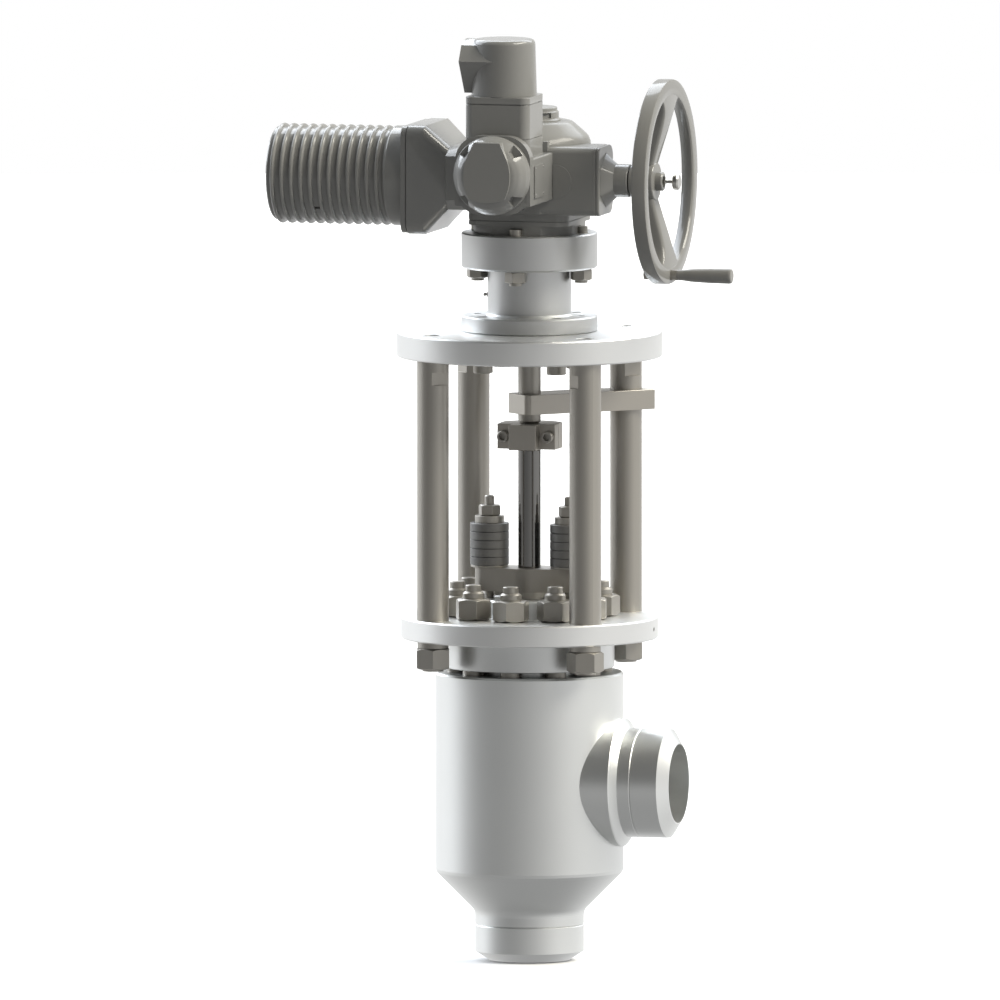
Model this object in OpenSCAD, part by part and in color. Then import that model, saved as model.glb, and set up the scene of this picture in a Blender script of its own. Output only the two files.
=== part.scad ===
/* [Pipe ends] */
// Outside diameter of both pipe ends
pipe_od = 168.3; // [160:0.1:172]
// Wall thickness of both pipe ends
pipe_wall = 23.4; // [19:0.1:25]
// Length of the weld bevel at each pipe end
bevel_l = 14; // [10:1:18]
// Width of the flat land at the root of the bevel
bevel_land = 1.6; // [1:0.1:3]
// Length of the inlet weld end
inlet_end_l = 55; // [45:1:60]
// Length of the outlet weld end
outlet_end_l = 57; // [50:1:64]

/* [Valve body] */
// Radius of the body barrel
body_r = 145; // [143:0.5:150]
// Height of the top face of the body
body_top = 445; // [440:1:460]
// Height at which the inlet cone would leave the neck
cone_z = 76.5; // [74:0.5:84]
// Height of the outlet axis
outlet_z = 277; // [272:1:284]
// Distance from the valve axis to the outlet end face
outlet_x = 238; // [234:1:260]
// Radius of the outlet boss
boss_r = 99; // [96:0.5:103]
// Distance from the valve axis to the end of the outlet boss
boss_x = 161; // [158:1:166]
// Radius of the flow passages between the chamber and the pipe ends
passage_r = 63; // [61.5:0.5:66]
// Radius of the flow chamber round the cage
chamber_r = 112; // [106:1:115]
// Height of the ledge under the seat ring
seat_z = 150; // [146:1:156]

/* [Trim] */
// Radius of the bore that the bonnet plugs into
bonnet_bore_r = 86; // [84:0.5:88]
// Outside radius of the seat ring
seat_ring_r = 79.7; // [78:0.1:81]
// Height of the seat ring
seat_ring_h = 32; // [28:1:36]
// Throat radius of the seat ring
seat_throat_r = 54; // [50:1:56]
// Bore radius of the cage
cage_bore_r = 66; // [63:0.5:67]
// Outside radius of the cage
cage_r = 78; // [75:0.5:80]
// Length of the bonnet plug below the top face of the body
bonnet_plug_l = 61; // [55:1:64]
// Height of the plug from its seating line to its top
plug_h = 98; // [90:1:102]
// Thickness of the gasket under the bonnet plug
gasket_t = 4; // [3:0.5:5]

/* [Bonnet and yoke] */
// Open gap between the body and the bonnet flange
bonnet_gap = 8; // [5:1:10]
// Radius of the bonnet flange
bonnet_r = 131; // [130:1:136]
// Thickness of the bonnet flange
bonnet_h = 45; // [40:1:50]
// Radius of the bonnet neck inside the yoke plate
bonnet_neck_r = 73; // [73:0.5:76]
// Height of the bonnet neck above the lower plate
bonnet_neck_h = 27; // [22:1:30]
// Number of bonnet studs
stud_n = 10; // [8:1:10]
// Radius of the bonnet stud circle
stud_circle_r = 111; // [110:0.5:113]
// Thread radius of the bonnet studs
stud_r = 16.5; // [15:0.5:17]
// Width across flats of the bonnet and column nuts
big_nut_af = 50; // [46:1:52]
// Width of the lower yoke plate outside the column circle
lower_rim = 26.8; // [25:0.1:36]
// Thickness of the lower yoke plate
lower_plate_h = 33; // [28:1:40]
// Width of the upper yoke plate outside the column circle
upper_rim = 33.3; // [30:0.1:42]
// Thickness of the upper yoke plate
upper_plate_h = 39; // [34:1:45]
// Length of the columns between the plates
column_l = 402; // [396:1:440]
// Radius of the columns
column_r = 24.6; // [22:0.1:26]
// Gap between the bonnet flange and the corners of the column nuts
column_gap = 11.8; // [10:0.1:16]
// Width across the wrench flats of the columns
column_flat_af = 41; // [38:0.5:43]

/* [Gland] */
// Number of packing rings
packing_n = 6; // [5:1:6]
// Height of one packing ring
packing_h = 11; // [9:0.5:11]
// Bore radius of the packing box
packing_r = 32; // [28:0.5:34]
// Thickness of the gland flange
gland_flange_h = 36; // [30:1:40]
// Half length of the gland flange
gland_flange_l = 86; // [84:1:90]
// Half width of the gland flange
gland_flange_w = 37; // [34:1:40]
// Distance from the stem to each gland stud
gland_stud_x = 63.6; // [62:0.1:64.5]
// Radius of the gland studs
gland_stud_r = 7.5; // [6:0.5:8]
// Number of disc springs on each gland stud
disc_n = 5; // [3:1:6]
// Height of one disc spring
disc_h = 13; // [10:0.5:13]
// Outside radius of the disc springs
disc_r = 30; // [26:0.5:32]

/* [Stem line] */
// Diameter of the valve stem and of the spindle
stem_d = 35; // [32:0.5:36]
// Height of the coupling above the lower plate
coupling_z = 259; // [255:1:262]
// Height of the coupling
coupling_h = 39; // [34:1:42]
// Half width of the coupling across its ears
coupling_w = 46; // [44:0.5:50]
// Gap between the coupling and the guide arm
arm_gap = 15; // [12:1:18]
// Thickness of the guide arm
arm_h = 30.5; // [26:0.5:33]
// Width of the guide arm
arm_w = 62; // [58:0.5:66]
// Stem travel from the rest position down to the seat
travel_down = 50; // [45:1:50]
// Running clearance of turning and sliding parts
run_gap = 0.1; // [0.05:0.01:0.1]

/* [Drive adapter] */
// Radius of both adapter flanges
adapter_r = 105; // [103:0.5:112]
// Thickness of the adapter foot flange
adapter_foot_h = 24.5; // [22:0.5:28]
// Length of the adapter tube
adapter_neck_h = 73.5; // [70:0.5:85]
// Radius of the adapter tube
adapter_neck_r = 64.4; // [62:0.1:66]
// Thickness of the adapter head flange
adapter_head_h = 55; // [50:1:60]
// Radius of the adapter bolt circle
adapter_bolt_r = 82.5; // [81.5:0.1:84]

/* [Actuator] */
// Height of the worm axis above the adapter
worm_h = 86; // [84:1:88]
// Distance from the valve axis to the worm axis
worm_y = 44; // [43:0.5:46]
// Pitch radius of the worm
worm_r = 11; // [10:0.5:11.5]
// Radius of the gear housing
gear_r = 95; // [93:0.5:98]
// Half height and half width of the motor flange
motor_flange_w = 84; // [82:0.5:88]
// Radius of the motor fins
fin_r = 77.2; // [74:0.1:80]
// Radius of the motor barrel under the fins
motor_r = 72; // [68:0.5:73]
// Number of motor fins
fin_n = 12; // [8:1:12]
// Pitch of the motor fins
fin_pitch = 15.1; // [13:0.1:15.2]
// Radius of the switch cover
cover_r = 61; // [60:0.5:64]
// Half width of the switch housing
switch_w = 60; // [58:0.5:62]

/* [Handwheel] */
// Outside radius of the handwheel
wheel_r = 158; // [150:1:170]
// Width of the handwheel rim along its axis
rim_w = 22; // [20:1:26]
// Radial depth of the handwheel rim
rim_d = 19; // [16:1:22]
// Distance from the valve axis to the outer face of the rim
wheel_x = 238; // [236:1:246]
// Length of the turning grip
grip_l = 87; // [75:1:100]
// Travel of the release button
button_travel = 8; // [5:0.5:9]

/* [Hidden] */

$fn = 64;
eps = 0.01;
fit_gap = 0.3;
far = 400;

// Radii of the pipe ends and depth of the weld grooves
neck_r = pipe_od / 2;
bore_r = neck_r - pipe_wall;
weld_groove = 1.4;

// Heights from the inlet face upwards
cone_top = cone_z + body_r - neck_r;
cage_z = seat_z + seat_ring_h;
bonnet_plug_z = body_top - bonnet_plug_l;
cage_top = bonnet_plug_z - gasket_t;
bonnet_z = body_top + bonnet_gap;
plate_z = bonnet_z + bonnet_h;
yoke_z = plate_z + lower_plate_h;
upper_z = yoke_z + column_l;
adapter_z = upper_z + upper_plate_h;
tube_z = adapter_z + adapter_foot_h;
head_z = tube_z + adapter_neck_h;
drive_z = head_z + adapter_head_h;
worm_z = drive_z + worm_h;

// Flow chamber and stud holes in the body
chamber_z0 = cage_z + 6;
chamber_z1 = cage_top - 8;
chamber_chamfer = 12;
stud_depth = 46;
stud_hole_r = stud_r + 0.6;

// Trim
seat_bevel = 6;
plug_r = cage_bore_r - run_gap;
plug_z = cage_z + travel_down + run_gap;
plug_top = plug_z + plug_h;
plug_nose_h = 32;
seal_h = 6;
stem_r = stem_d / 2;
stem_tail_r = 12;
stem_tail_h = 40;

// Big nuts and studs, and the columns that stand clear of the bonnet
nut_h = big_nut_af * 0.66;
column_circle_r = bonnet_r + big_nut_af / 2 / cos(30) + column_gap;
lower_plate_r = column_circle_r + lower_rim;
upper_plate_r = column_circle_r + upper_rim;
stud_tip_r = 12;
stud_tip_h = 10;
stud_end_h = 11;
washer_h = 9;
column_stud_r = stud_r;
column_spigot_r = 13.7;
column_spigot_h = upper_plate_h - 6;
flat_h = 20;
flat_drop = 37;

// Packing and gland
packing_z = yoke_z + bonnet_neck_h - 22 - packing_n * packing_h;
packing_top = packing_z + packing_n * packing_h;
gland_z = yoke_z + bonnet_neck_h + 12;
spring_z = gland_z + gland_flange_h;
thin_washer_h = 3;
disc_z = spring_z + thin_washer_h;
cap_washer_z = disc_z + disc_n * disc_h;
cap_washer_h = 11;
gland_nut_z = cap_washer_z + cap_washer_h;
gland_nut_af = 30;
gland_nut_h = 17;
gland_stud_top = gland_nut_z + gland_nut_h + 14;

// Stem line
stem_coupling_z = yoke_z + coupling_z;
coupling_top = stem_coupling_z + coupling_h;
coupling_mid = stem_coupling_z + coupling_h / 2;
neck_d = 22;
head_d = 30;
head_h = 7;
block_w = 21.5;
block_y = 44;
ear_y = 20;
coupling_round_r = coupling_w + 6;
split_gap = 0.5;
screw_x = (block_w + coupling_w) / 2 + 1.5;
screw_head_r = 9;
screw_head_h = 11;
screw_r = 6;
arm_z = coupling_top + arm_gap;
arm_back = 23;
arm_reach = column_circle_r + 34;
arm_angle = 45;
column_slide_gap = 0.9;
spindle_top = worm_z + 20;
spindle_chamfer = 3;

// Drive adapter and stem nut
nut_flange_r = 44;
nut_flange_h = 22;
stem_nut_r = 30;
bearing_h = 12;
nut_z = tube_z + 12;
bearing_z = nut_z + 14;
nut_flange_z = bearing_z + bearing_h;
nut_top = nut_flange_z + nut_flange_h + bearing_h + 12;
adapter_bore_r = 50;
adapter_screw_r = 10;
adapter_screw_head_r = 15;
adapter_screw_head_h = 23;
adapter_nut_af = 30;
adapter_nut_h = 18;
dog_w = 12;
dog_h = 8;

// Actuator casing
foot_r = 87.5;
foot_h = 15;
tier_h = 20;
tier_w = 80;
gear_z = drive_z + foot_h + tier_h;
gear_top_r = 66;
gear_top = worm_z + 86.5;
gear_shoulder_h = 38;
gear_shoulder_w = 9;
gear_taper_h = 18.5;
base_corner = 20;
neck_back_x = -21;
shaft_bearing_h = 14;
shaft_bearing_drop = 34;
plug_thread_r = 42.7;
plug_cap_r = 45.3;
plug_cap_h = 20.5;
shaft_r = 27;
shaft_bore_r = stem_r + 1.5;
gear_cavity_r = 46;
wheel_face = 22;
neck_x = -100;
neck_top = 52;
neck_foot = 45;
neck_slope_w = 29;
neck_slope_h = 13;
neck_chamfer = 16;
motor_face_x = -172;
motor_collar = 7.5;
motor_joint = 2;
flange_t = 36;
arm_x = 124;
arm_front = 87;
arm_half_h = 53;
arm_rear = 1;
arm_cover_x = 134;
arm_neck_x = 150;
arm_neck_r = 24.6;
arm_neck_end = 170;
worm_journal_r = 12;
worm_bearing_r = 20;
worm_bearing_w = 14;
worm_l = 26;
worm_end = 75;
worm_groove = 3;
arm_boss_x = 64;
arm_boss_r = 26;

// Motor
motor_x0 = motor_face_x;
motor_ring_x = motor_x0 - 34;
motor_x1 = motor_ring_x - fin_n * fin_pitch;
motor_cap_x = motor_x1 - 12;
stator_r = 56;
rotor_r = 33.7;
air_gap = 0.6;
motor_bore_r = stator_r + 0.05;
rotor_shaft_r = 11;
rotor_end_x = -78;
end_boss_r = 26;

// Switch housing and terminal box
switch_y0 = -arm_front;
switch_y1 = -220;
switch_mid = worm_z + 19;
switch_ring_d = 20;
switch_corner = 40;
side_mid = worm_z + 8;
side_h = 74;
cover_d = 33;
cover_slope_d = 25;
cover_slope_r = cover_r - 11;
cover_face_r = cover_r - 26;
panel_d = cover_d + 4;
box_y = -150;
box_w = 51;
box_d = 50;
box_z0 = worm_z + 73;
box_top = box_z0 + 65;
box_bore_r = 38;
box_corner = 14;
box_lid_h = 12;
cap_r = 50.5;
cap_h = 87;
cap_top_r = 48;
horn_w = 48.6;
horn_wide_z = 54;
horn_top_w = 32;
horn_top_z = 78;
entry_x = -60;
entry_z = 52;
entry_thread_r = 16;
casing_wall = 6;
plate_y = -170;
plate_h = 51;
plate_l = 56;
plate_t = 2;

// Handwheel
rim_r = wheel_r - rim_d;
hub_x = arm_neck_end + 1.5;
hub_front = wheel_x - 26;
hub_r = 28.6;
hub_l = hub_front - hub_x;
spoke_w = 34;
spoke_end_w = 58;
spoke_t = 12;
boss_l = 14;
spigot_r = 8;
spigot_l = 16;
boss_end_x = hub_front + boss_l;
boss_small_r = 14.6;
button_rod_r = 3;
button_x = boss_end_x + 16;
button_r = 12.8;
button_h = 9;
grip_r = wheel_r - 14;
pin_r = 6;
grip_x = wheel_x + 10;
pin_boss_r = 13;
pin_collar_r = 8.4;

function arc_points(cx, cy, r, a0, a1, n) =
  [for (i = [0:n]) let (a = a0 + (a1 - a0) * i / n) [cx + r * cos(a), cy + r * sin(a)]];

// Turns a shape built along +Z so that it runs along +X from a point
module along_x(x, y, z) {
  translate([x, y, z]) rotate([0, 90, 0]) children();
}

// Places a copy at each of n positions on a circle
module around(n, r, first = 0) {
  for (i = [0:n - 1]) rotate([0, 0, first + i * 360 / n]) translate([r, 0, 0]) children();
}

module rounded_rect(w, h, r) {
  square([w - 2 * r, h], center = true);
  square([w, h - 2 * r], center = true);
  for (x = [-1, 1], y = [-1, 1]) translate([x * (w / 2 - r), y * (h / 2 - r)]) circle(r);
}

module tube(r_out, r_in, h) {
  difference() {
    cylinder(r = r_out, h = h);
    translate([0, 0, -eps]) cylinder(r = r_in, h = h + 2 * eps);
  }
}

// Hexagon with corners on the X axis and both end faces chamfered
module hexagon(af, h) {
  corner = af / 2 / cos(30);
  edge = corner * 0.09;
  intersection() {
    cylinder(r = corner, h = h, $fn = 6);
    rotate_extrude() polygon([
      [0, 0], [corner - 2 * edge, 0], [corner, edge], [corner, h - edge],
      [corner - 2 * edge, h], [0, h]
    ]);
  }
}

module hex_nut(af, h, hole_r) {
  difference() {
    hexagon(af, h);
    translate([0, 0, -eps]) cylinder(r = hole_r, h = h + 2 * eps);
  }
}

// Cap screw with its head above the origin and its shank below
module cap_screw(r, l, head_r, head_h, socket_af) {
  translate([0, 0, -l]) cylinder(r = r, h = l + eps);
  difference() {
    rotate_extrude() polygon([
      [0, 0], [head_r, 0], [head_r, head_h - 1], [head_r - 1, head_h], [0, head_h]
    ]);
    translate([0, 0, head_h / 2])
      cylinder(r = socket_af / 2 / cos(30), h = head_h, $fn = 6);
  }
}

module weld_end(l) {
  rotate_extrude($fn = 128) polygon([
    [bore_r, 0], [bore_r + bevel_land, 0], [neck_r, bevel_l],
    [neck_r, l - weld_groove], [neck_r - weld_groove, l], [bore_r, l]
  ]);
}

module inlet_weld_end() {
  color([0.86, 0.87, 0.87]) weld_end(inlet_end_l);
}

module outlet_weld_end() {
  color([0.86, 0.87, 0.87])
    translate([outlet_x, 0, outlet_z]) rotate([0, -90, 0]) weld_end(outlet_end_l);
}

// Outer skin of the body, with a concave fillet where the cone leaves the neck
module body_skin() {
  fillet = 18;
  tangent = fillet * tan(22.5);
  rotate_extrude($fn = 128) polygon(concat(
    [[0, inlet_end_l], [neck_r - weld_groove, inlet_end_l], [neck_r, inlet_end_l + weld_groove]],
    arc_points(neck_r + fillet, cone_z - tangent, fillet, 180, 135, 5),
    [[body_r - 5, cone_top - 5], [body_r - 1.5, cone_top - 0.6], [body_r, cone_top + 4],
     [body_r, body_top - 3], [body_r - 3, body_top], [0, body_top]]
  ));
}

module outlet_boss() {
  chamfer = boss_r - neck_r;
  outlet_joint = outlet_x - outlet_end_l;
  along_x(0, 0, outlet_z) rotate_extrude($fn = 128) polygon([
    [0, 0], [boss_r, 0], [boss_r, boss_x - chamfer * 0.6 - 1.5], [boss_r - 1.5, boss_x - chamfer * 0.6],
    [neck_r, boss_x], [neck_r, outlet_joint - weld_groove],
    [neck_r - weld_groove, outlet_joint], [0, outlet_joint]
  ]);
}

module valve_body() {
  color([0.86, 0.87, 0.87]) difference() {
    union() {
      body_skin();
      outlet_boss();
    }
    translate([0, 0, inlet_end_l - 1]) cylinder(r = passage_r, h = seat_z - inlet_end_l + 2);
    translate([0, 0, seat_z]) cylinder(r = seat_ring_r + fit_gap, h = chamber_z0 - seat_z + 1);
    rotate_extrude($fn = 128) polygon([
      [0, chamber_z0], [chamber_r - chamber_chamfer, chamber_z0],
      [chamber_r, chamber_z0 + chamber_chamfer], [chamber_r, chamber_z1 - chamber_chamfer],
      [chamber_r - chamber_chamfer, chamber_z1], [0, chamber_z1]
    ]);
    translate([0, 0, chamber_z1 - 1]) cylinder(r = bonnet_bore_r, h = body_top - chamber_z1 + 2);
    along_x(0, 0, outlet_z) cylinder(r = passage_r, h = outlet_x);
    translate([0, 0, body_top - stud_depth]) around(stud_n, stud_circle_r, -90)
      cylinder(r = stud_hole_r, h = stud_depth + 1);
  }
}

module seat_ring() {
  color("silver") rotate_extrude() polygon([
    [seat_throat_r, seat_z], [seat_ring_r, seat_z], [seat_ring_r, cage_z],
    [seat_throat_r + seat_bevel, cage_z], [seat_throat_r, cage_z - seat_bevel]
  ]);
}

// Tube with two rows of flow windows and a flange that the bonnet clamps
module cage() {
  window_w = 34;
  color("silver") difference() {
    union() {
      translate([0, 0, cage_z]) cylinder(r = cage_r, h = cage_top - cage_z);
      translate([0, 0, cage_top - 8]) cylinder(r = bonnet_bore_r - fit_gap, h = 8);
    }
    translate([0, 0, cage_z - 1]) cylinder(r = cage_bore_r, h = cage_top - cage_z + 2);
    for (i = [0:3]) rotate([0, 0, i * 90])
      translate([0, -window_w / 2, chamber_z0 + 8]) cube([cage_r + 1, window_w, 50]);
    for (i = [0:3]) rotate([0, 0, 45 + i * 90])
      translate([0, -window_w / 2, chamber_z0 + 72]) cube([cage_r + 1, window_w, 50]);
  }
}

// Balanced plug with a contoured nose and two balance holes
module plug() {
  color("silver") difference() {
    rotate_extrude() polygon([
      [0, plug_z - plug_nose_h], [seat_throat_r - 22, plug_z - plug_nose_h],
      [seat_throat_r - 12, plug_z - plug_nose_h + 8], [seat_throat_r - 5, plug_z - plug_nose_h + 18],
      [seat_throat_r - 1, plug_z - seat_bevel], [seat_throat_r + seat_bevel - 0.1, plug_z],
      [plug_r, plug_z + 6], [plug_r, plug_top - 24], [plug_r - 5, plug_top - 24],
      [plug_r - 5, plug_top - 24 + seal_h], [plug_r, plug_top - 24 + seal_h],
      [plug_r, plug_top - 2], [plug_r - 2, plug_top], [0, plug_top]
    ]);
    for (y = [-1, 1]) translate([0, y * 34, plug_z - plug_nose_h - 1])
      cylinder(r = 6, h = plug_h + plug_nose_h + 2);
    translate([0, 0, plug_top - stem_tail_h]) cylinder(r = stem_tail_r, h = stem_tail_h + 1);
  }
}

module plug_seal() {
  color("dimgray") translate([0, 0, plug_top - 24 + fit_gap])
    tube(cage_bore_r - run_gap / 2, plug_r - 5 + fit_gap, seal_h - 2 * fit_gap);
}

// Stem with a threaded tail in the plug and a grooved head in the coupling
module valve_stem() {
  head_z = coupling_mid - 1 - head_h;
  color("silver") rotate_extrude() polygon([
    [0, plug_top - stem_tail_h + 1], [stem_tail_r - fit_gap, plug_top - stem_tail_h + 1],
    [stem_tail_r - fit_gap, plug_top], [stem_r, plug_top],
    [stem_r, stem_coupling_z - spindle_chamfer], [stem_r - spindle_chamfer, stem_coupling_z],
    [neck_d / 2, stem_coupling_z], [neck_d / 2, head_z], [head_d / 2, head_z],
    [head_d / 2, head_z + head_h], [0, head_z + head_h]
  ]);
}

// Plug, flange and neck in one forging, bored for the stem and the packing
module bonnet() {
  land_r = bonnet_bore_r + 7;
  color([0.86, 0.87, 0.87]) difference() {
    rotate_extrude($fn = 128) polygon([
      [stem_r + run_gap, bonnet_plug_z], [bonnet_bore_r - fit_gap, bonnet_plug_z],
      [bonnet_bore_r - fit_gap, body_top], [land_r, body_top], [land_r, bonnet_z],
      [bonnet_r - 1, bonnet_z], [bonnet_r, bonnet_z + 1], [bonnet_r, plate_z],
      [bonnet_neck_r, plate_z], [bonnet_neck_r, yoke_z + bonnet_neck_h - 2],
      [bonnet_neck_r - 2, yoke_z + bonnet_neck_h], [packing_r, yoke_z + bonnet_neck_h],
      [packing_r, packing_z], [stem_r + run_gap, packing_z]
    ]);
    translate([0, 0, body_top - 1]) around(stud_n, stud_circle_r, -90)
      cylinder(r = stud_hole_r, h = bonnet_gap + bonnet_h + 2);
    for (x = [-1, 1]) translate([x * gland_stud_x, 0, yoke_z + bonnet_neck_h - 22])
      cylinder(r = gland_stud_r + 0.1, h = 23);
  }
}

module bonnet_gasket() {
  color("dimgray") translate([0, 0, cage_top]) tube(bonnet_bore_r - fit_gap, cage_bore_r + 2, gasket_t);
}

module bonnet_studs() {
  stud_top = yoke_z + nut_h + stud_end_h;
  color([0.47, 0.45, 0.41]) around(stud_n, stud_circle_r, -90) rotate_extrude() polygon([
    [0, body_top - stud_depth + 1], [stud_r, body_top - stud_depth + 1],
    [stud_r, stud_top - 3], [stud_r - 3, stud_top], [stud_tip_r, stud_top],
    [stud_tip_r, stud_top + stud_tip_h - 1], [stud_tip_r - 1, stud_top + stud_tip_h],
    [0, stud_top + stud_tip_h]
  ]);
}

module bonnet_nuts() {
  color([0.47, 0.45, 0.41]) translate([0, 0, yoke_z]) around(stud_n, stud_circle_r, -90)
    hex_nut(big_nut_af, nut_h, stud_r + 0.05);
}

module lower_yoke_plate() {
  color([0.86, 0.87, 0.87]) difference() {
    rotate_extrude($fn = 128) polygon([
      [bonnet_neck_r + fit_gap, plate_z], [lower_plate_r - 2, plate_z],
      [lower_plate_r, plate_z + 2], [lower_plate_r, yoke_z - 2],
      [lower_plate_r - 2, yoke_z], [bonnet_neck_r + fit_gap, yoke_z]
    ]);
    translate([0, 0, plate_z - 1]) around(stud_n, stud_circle_r, -90)
      cylinder(r = stud_hole_r, h = lower_plate_h + 2);
    translate([0, 0, plate_z - 1]) around(4, column_circle_r, arm_angle)
      cylinder(r = column_stud_r + 0.1, h = lower_plate_h + 2);
    along_x(lower_plate_r - 15, 0, plate_z + lower_plate_h / 2) cylinder(r = 3.5, h = 16);
  }
}

module yoke_columns() {
  flat_z = upper_z - flat_drop;
  color([0.47, 0.45, 0.41]) around(4, column_circle_r, arm_angle) {
    difference() {
      translate([0, 0, yoke_z]) cylinder(r = column_r, h = column_l);
      for (y = [-1, 1]) translate([-column_r, y * (column_flat_af + column_r) / 2 - column_r / 2, flat_z])
        cube([2 * column_r, column_r, flat_h]);
    }
    translate([0, 0, plate_z - washer_h - nut_h - 3])
      cylinder(r = column_stud_r, h = lower_plate_h + washer_h + nut_h + 4);
    translate([0, 0, upper_z - 1]) rotate_extrude() polygon([
      [0, 0], [column_spigot_r, 0], [column_spigot_r, column_spigot_h],
      [column_spigot_r - 1.5, column_spigot_h + 1.5], [0, column_spigot_h + 1.5]
    ]);
  }
}

module column_nuts() {
  color([0.47, 0.45, 0.41]) around(4, column_circle_r, arm_angle) {
    translate([0, 0, plate_z - washer_h - nut_h]) hex_nut(big_nut_af, nut_h + eps, column_stud_r + 0.05);
    translate([0, 0, plate_z - washer_h]) tube(big_nut_af / 2 - 1, column_stud_r + 0.05, washer_h);
  }
}

module upper_yoke_plate() {
  color([0.86, 0.87, 0.87]) difference() {
    rotate_extrude($fn = 128) polygon([
      [stem_r + 8, upper_z], [upper_plate_r - 2, upper_z], [upper_plate_r, upper_z + 2],
      [upper_plate_r, adapter_z - 2], [upper_plate_r - 2, adapter_z], [stem_r + 8, adapter_z]
    ]);
    translate([0, 0, upper_z - 1]) around(4, column_circle_r, arm_angle)
      cylinder(r = column_spigot_r + fit_gap, h = upper_plate_h + 2);
    translate([0, 0, upper_z - 1]) around(4, adapter_bolt_r, arm_angle)
      cylinder(r = adapter_screw_r + 0.5, h = upper_plate_h + 2);
  }
}

module packing_rings() {
  color([0.2, 0.2, 0.2]) for (i = [0:packing_n - 1])
    translate([0, 0, packing_z + i * packing_h + 0.1])
      tube(packing_r - 0.1, stem_r + run_gap, packing_h - 0.2);
}

module gland_follower() {
  color("silver") rotate_extrude() polygon([
    [stem_r + run_gap, packing_top], [packing_r - 0.2, packing_top],
    [packing_r - 0.2, gland_z - 7], [gland_flange_w, gland_z - 7],
    [gland_flange_w, gland_z], [stem_r + run_gap, gland_z]
  ]);
}

// Bar with round ends and a wider round middle
module gland_flange() {
  end_r = gland_flange_l - gland_stud_x;
  color([0.47, 0.45, 0.41]) translate([0, 0, gland_z]) difference() {
    union() {
      cylinder(r = gland_flange_w + 5, h = gland_flange_h);
      hull() for (x = [-1, 1]) translate([x * gland_stud_x, 0, 0])
        cylinder(r = end_r, h = gland_flange_h, $fn = 48);
    }
    translate([0, 0, -1]) cylinder(r = stem_r + 0.5, h = gland_flange_h + 2);
    for (x = [-1, 1]) translate([x * gland_stud_x, 0, -1])
      cylinder(r = gland_stud_r + 0.5, h = gland_flange_h + 2);
  }
}

module gland_studs() {
  color([0.47, 0.45, 0.41]) for (x = [-1, 1])
    translate([x * gland_stud_x, 0, 0]) rotate_extrude() polygon([
      [0, yoke_z + bonnet_neck_h - 21], [gland_stud_r, yoke_z + bonnet_neck_h - 21],
      [gland_stud_r, gland_stud_top - 1.5], [gland_stud_r - 1.5, gland_stud_top],
      [0, gland_stud_top]
    ]);
}

// Stacks of disc springs, each disc with a rounded rim
module disc_springs() {
  rim = 2;
  color([0.33, 0.33, 0.34]) for (x = [-1, 1], i = [0:disc_n - 1])
    translate([x * gland_stud_x, 0, disc_z + i * disc_h]) rotate_extrude() polygon([
      [gland_stud_r + 0.5, 0.05], [disc_r - rim, 0.05], [disc_r - 0.6, rim * 0.4], [disc_r, rim],
      [disc_r, disc_h - rim], [disc_r - 0.6, disc_h - rim * 0.4], [disc_r - rim, disc_h - 0.05],
      [gland_stud_r + 0.5, disc_h - 0.05]
    ]);
}

module gland_washers() {
  color([0.47, 0.45, 0.41]) for (x = [-1, 1]) translate([x * gland_stud_x, 0, 0]) {
    translate([0, 0, spring_z]) tube(disc_r - 1, gland_stud_r + 0.5, thin_washer_h);
    translate([0, 0, cap_washer_z]) tube(22.5, gland_stud_r + 0.5, cap_washer_h);
  }
}

module gland_nuts() {
  color([0.47, 0.45, 0.41]) for (x = [-1, 1])
    translate([x * gland_stud_x, 0, gland_nut_z]) hex_nut(gland_nut_af, gland_nut_h, gland_stud_r + 0.05);
}

// Half of the split coupling, with the pockets that hold both grooved heads
module coupling_body() {
  difference() {
    translate([0, 0, stem_coupling_z]) cylinder(r = coupling_round_r, h = coupling_h);
    for (x = [-1, 1]) translate([x * (coupling_w + coupling_round_r / 2), 0, coupling_mid])
      cube([coupling_round_r, 3 * coupling_round_r, coupling_h + 2], center = true);
    translate([0, 0, stem_coupling_z - 1]) cylinder(r = neck_d / 2 + fit_gap, h = coupling_h + 2);
    translate([0, 0, coupling_mid - 1 - head_h - fit_gap])
      cylinder(r = head_d / 2 + fit_gap, h = 2 * head_h + 2 + 2 * fit_gap);
  }
}

module coupling_front() {
  color([0.47, 0.45, 0.41]) difference() {
    coupling_body();
    translate([-far / 2, -split_gap, stem_coupling_z - 1]) cube([far, far, coupling_h + 2]);
    translate([-far / 2, -block_y - far, stem_coupling_z - 1]) cube([far, far, coupling_h + 2]);
    for (x = [-1, 1]) translate([x * (block_w + far / 2), -ear_y - far / 2, coupling_mid])
      cube([far, far, coupling_h + 2], center = true);
    for (x = [-1, 1]) translate([x * screw_x, 1, coupling_mid]) rotate([90, 0, 0])
      cylinder(r = screw_r + 0.2, h = 2 * ear_y);
  }
}

module coupling_rear() {
  color([0.47, 0.45, 0.41]) difference() {
    coupling_body();
    translate([-far / 2, split_gap - far, stem_coupling_z - 1]) cube([far, far, coupling_h + 2]);
    for (x = [-1, 1]) translate([x * screw_x, ear_y + 4, coupling_mid]) rotate([90, 0, 0])
      cylinder(r = screw_r + 0.1, h = ear_y + 5);
  }
}

module coupling_screws() {
  color([0.47, 0.45, 0.41]) for (x = [-1, 1])
    translate([x * screw_x, -ear_y, coupling_mid]) rotate([90, 0, 0])
      cap_screw(screw_r, 2 * ear_y, screw_head_r, screw_head_h, 10);
}

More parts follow.
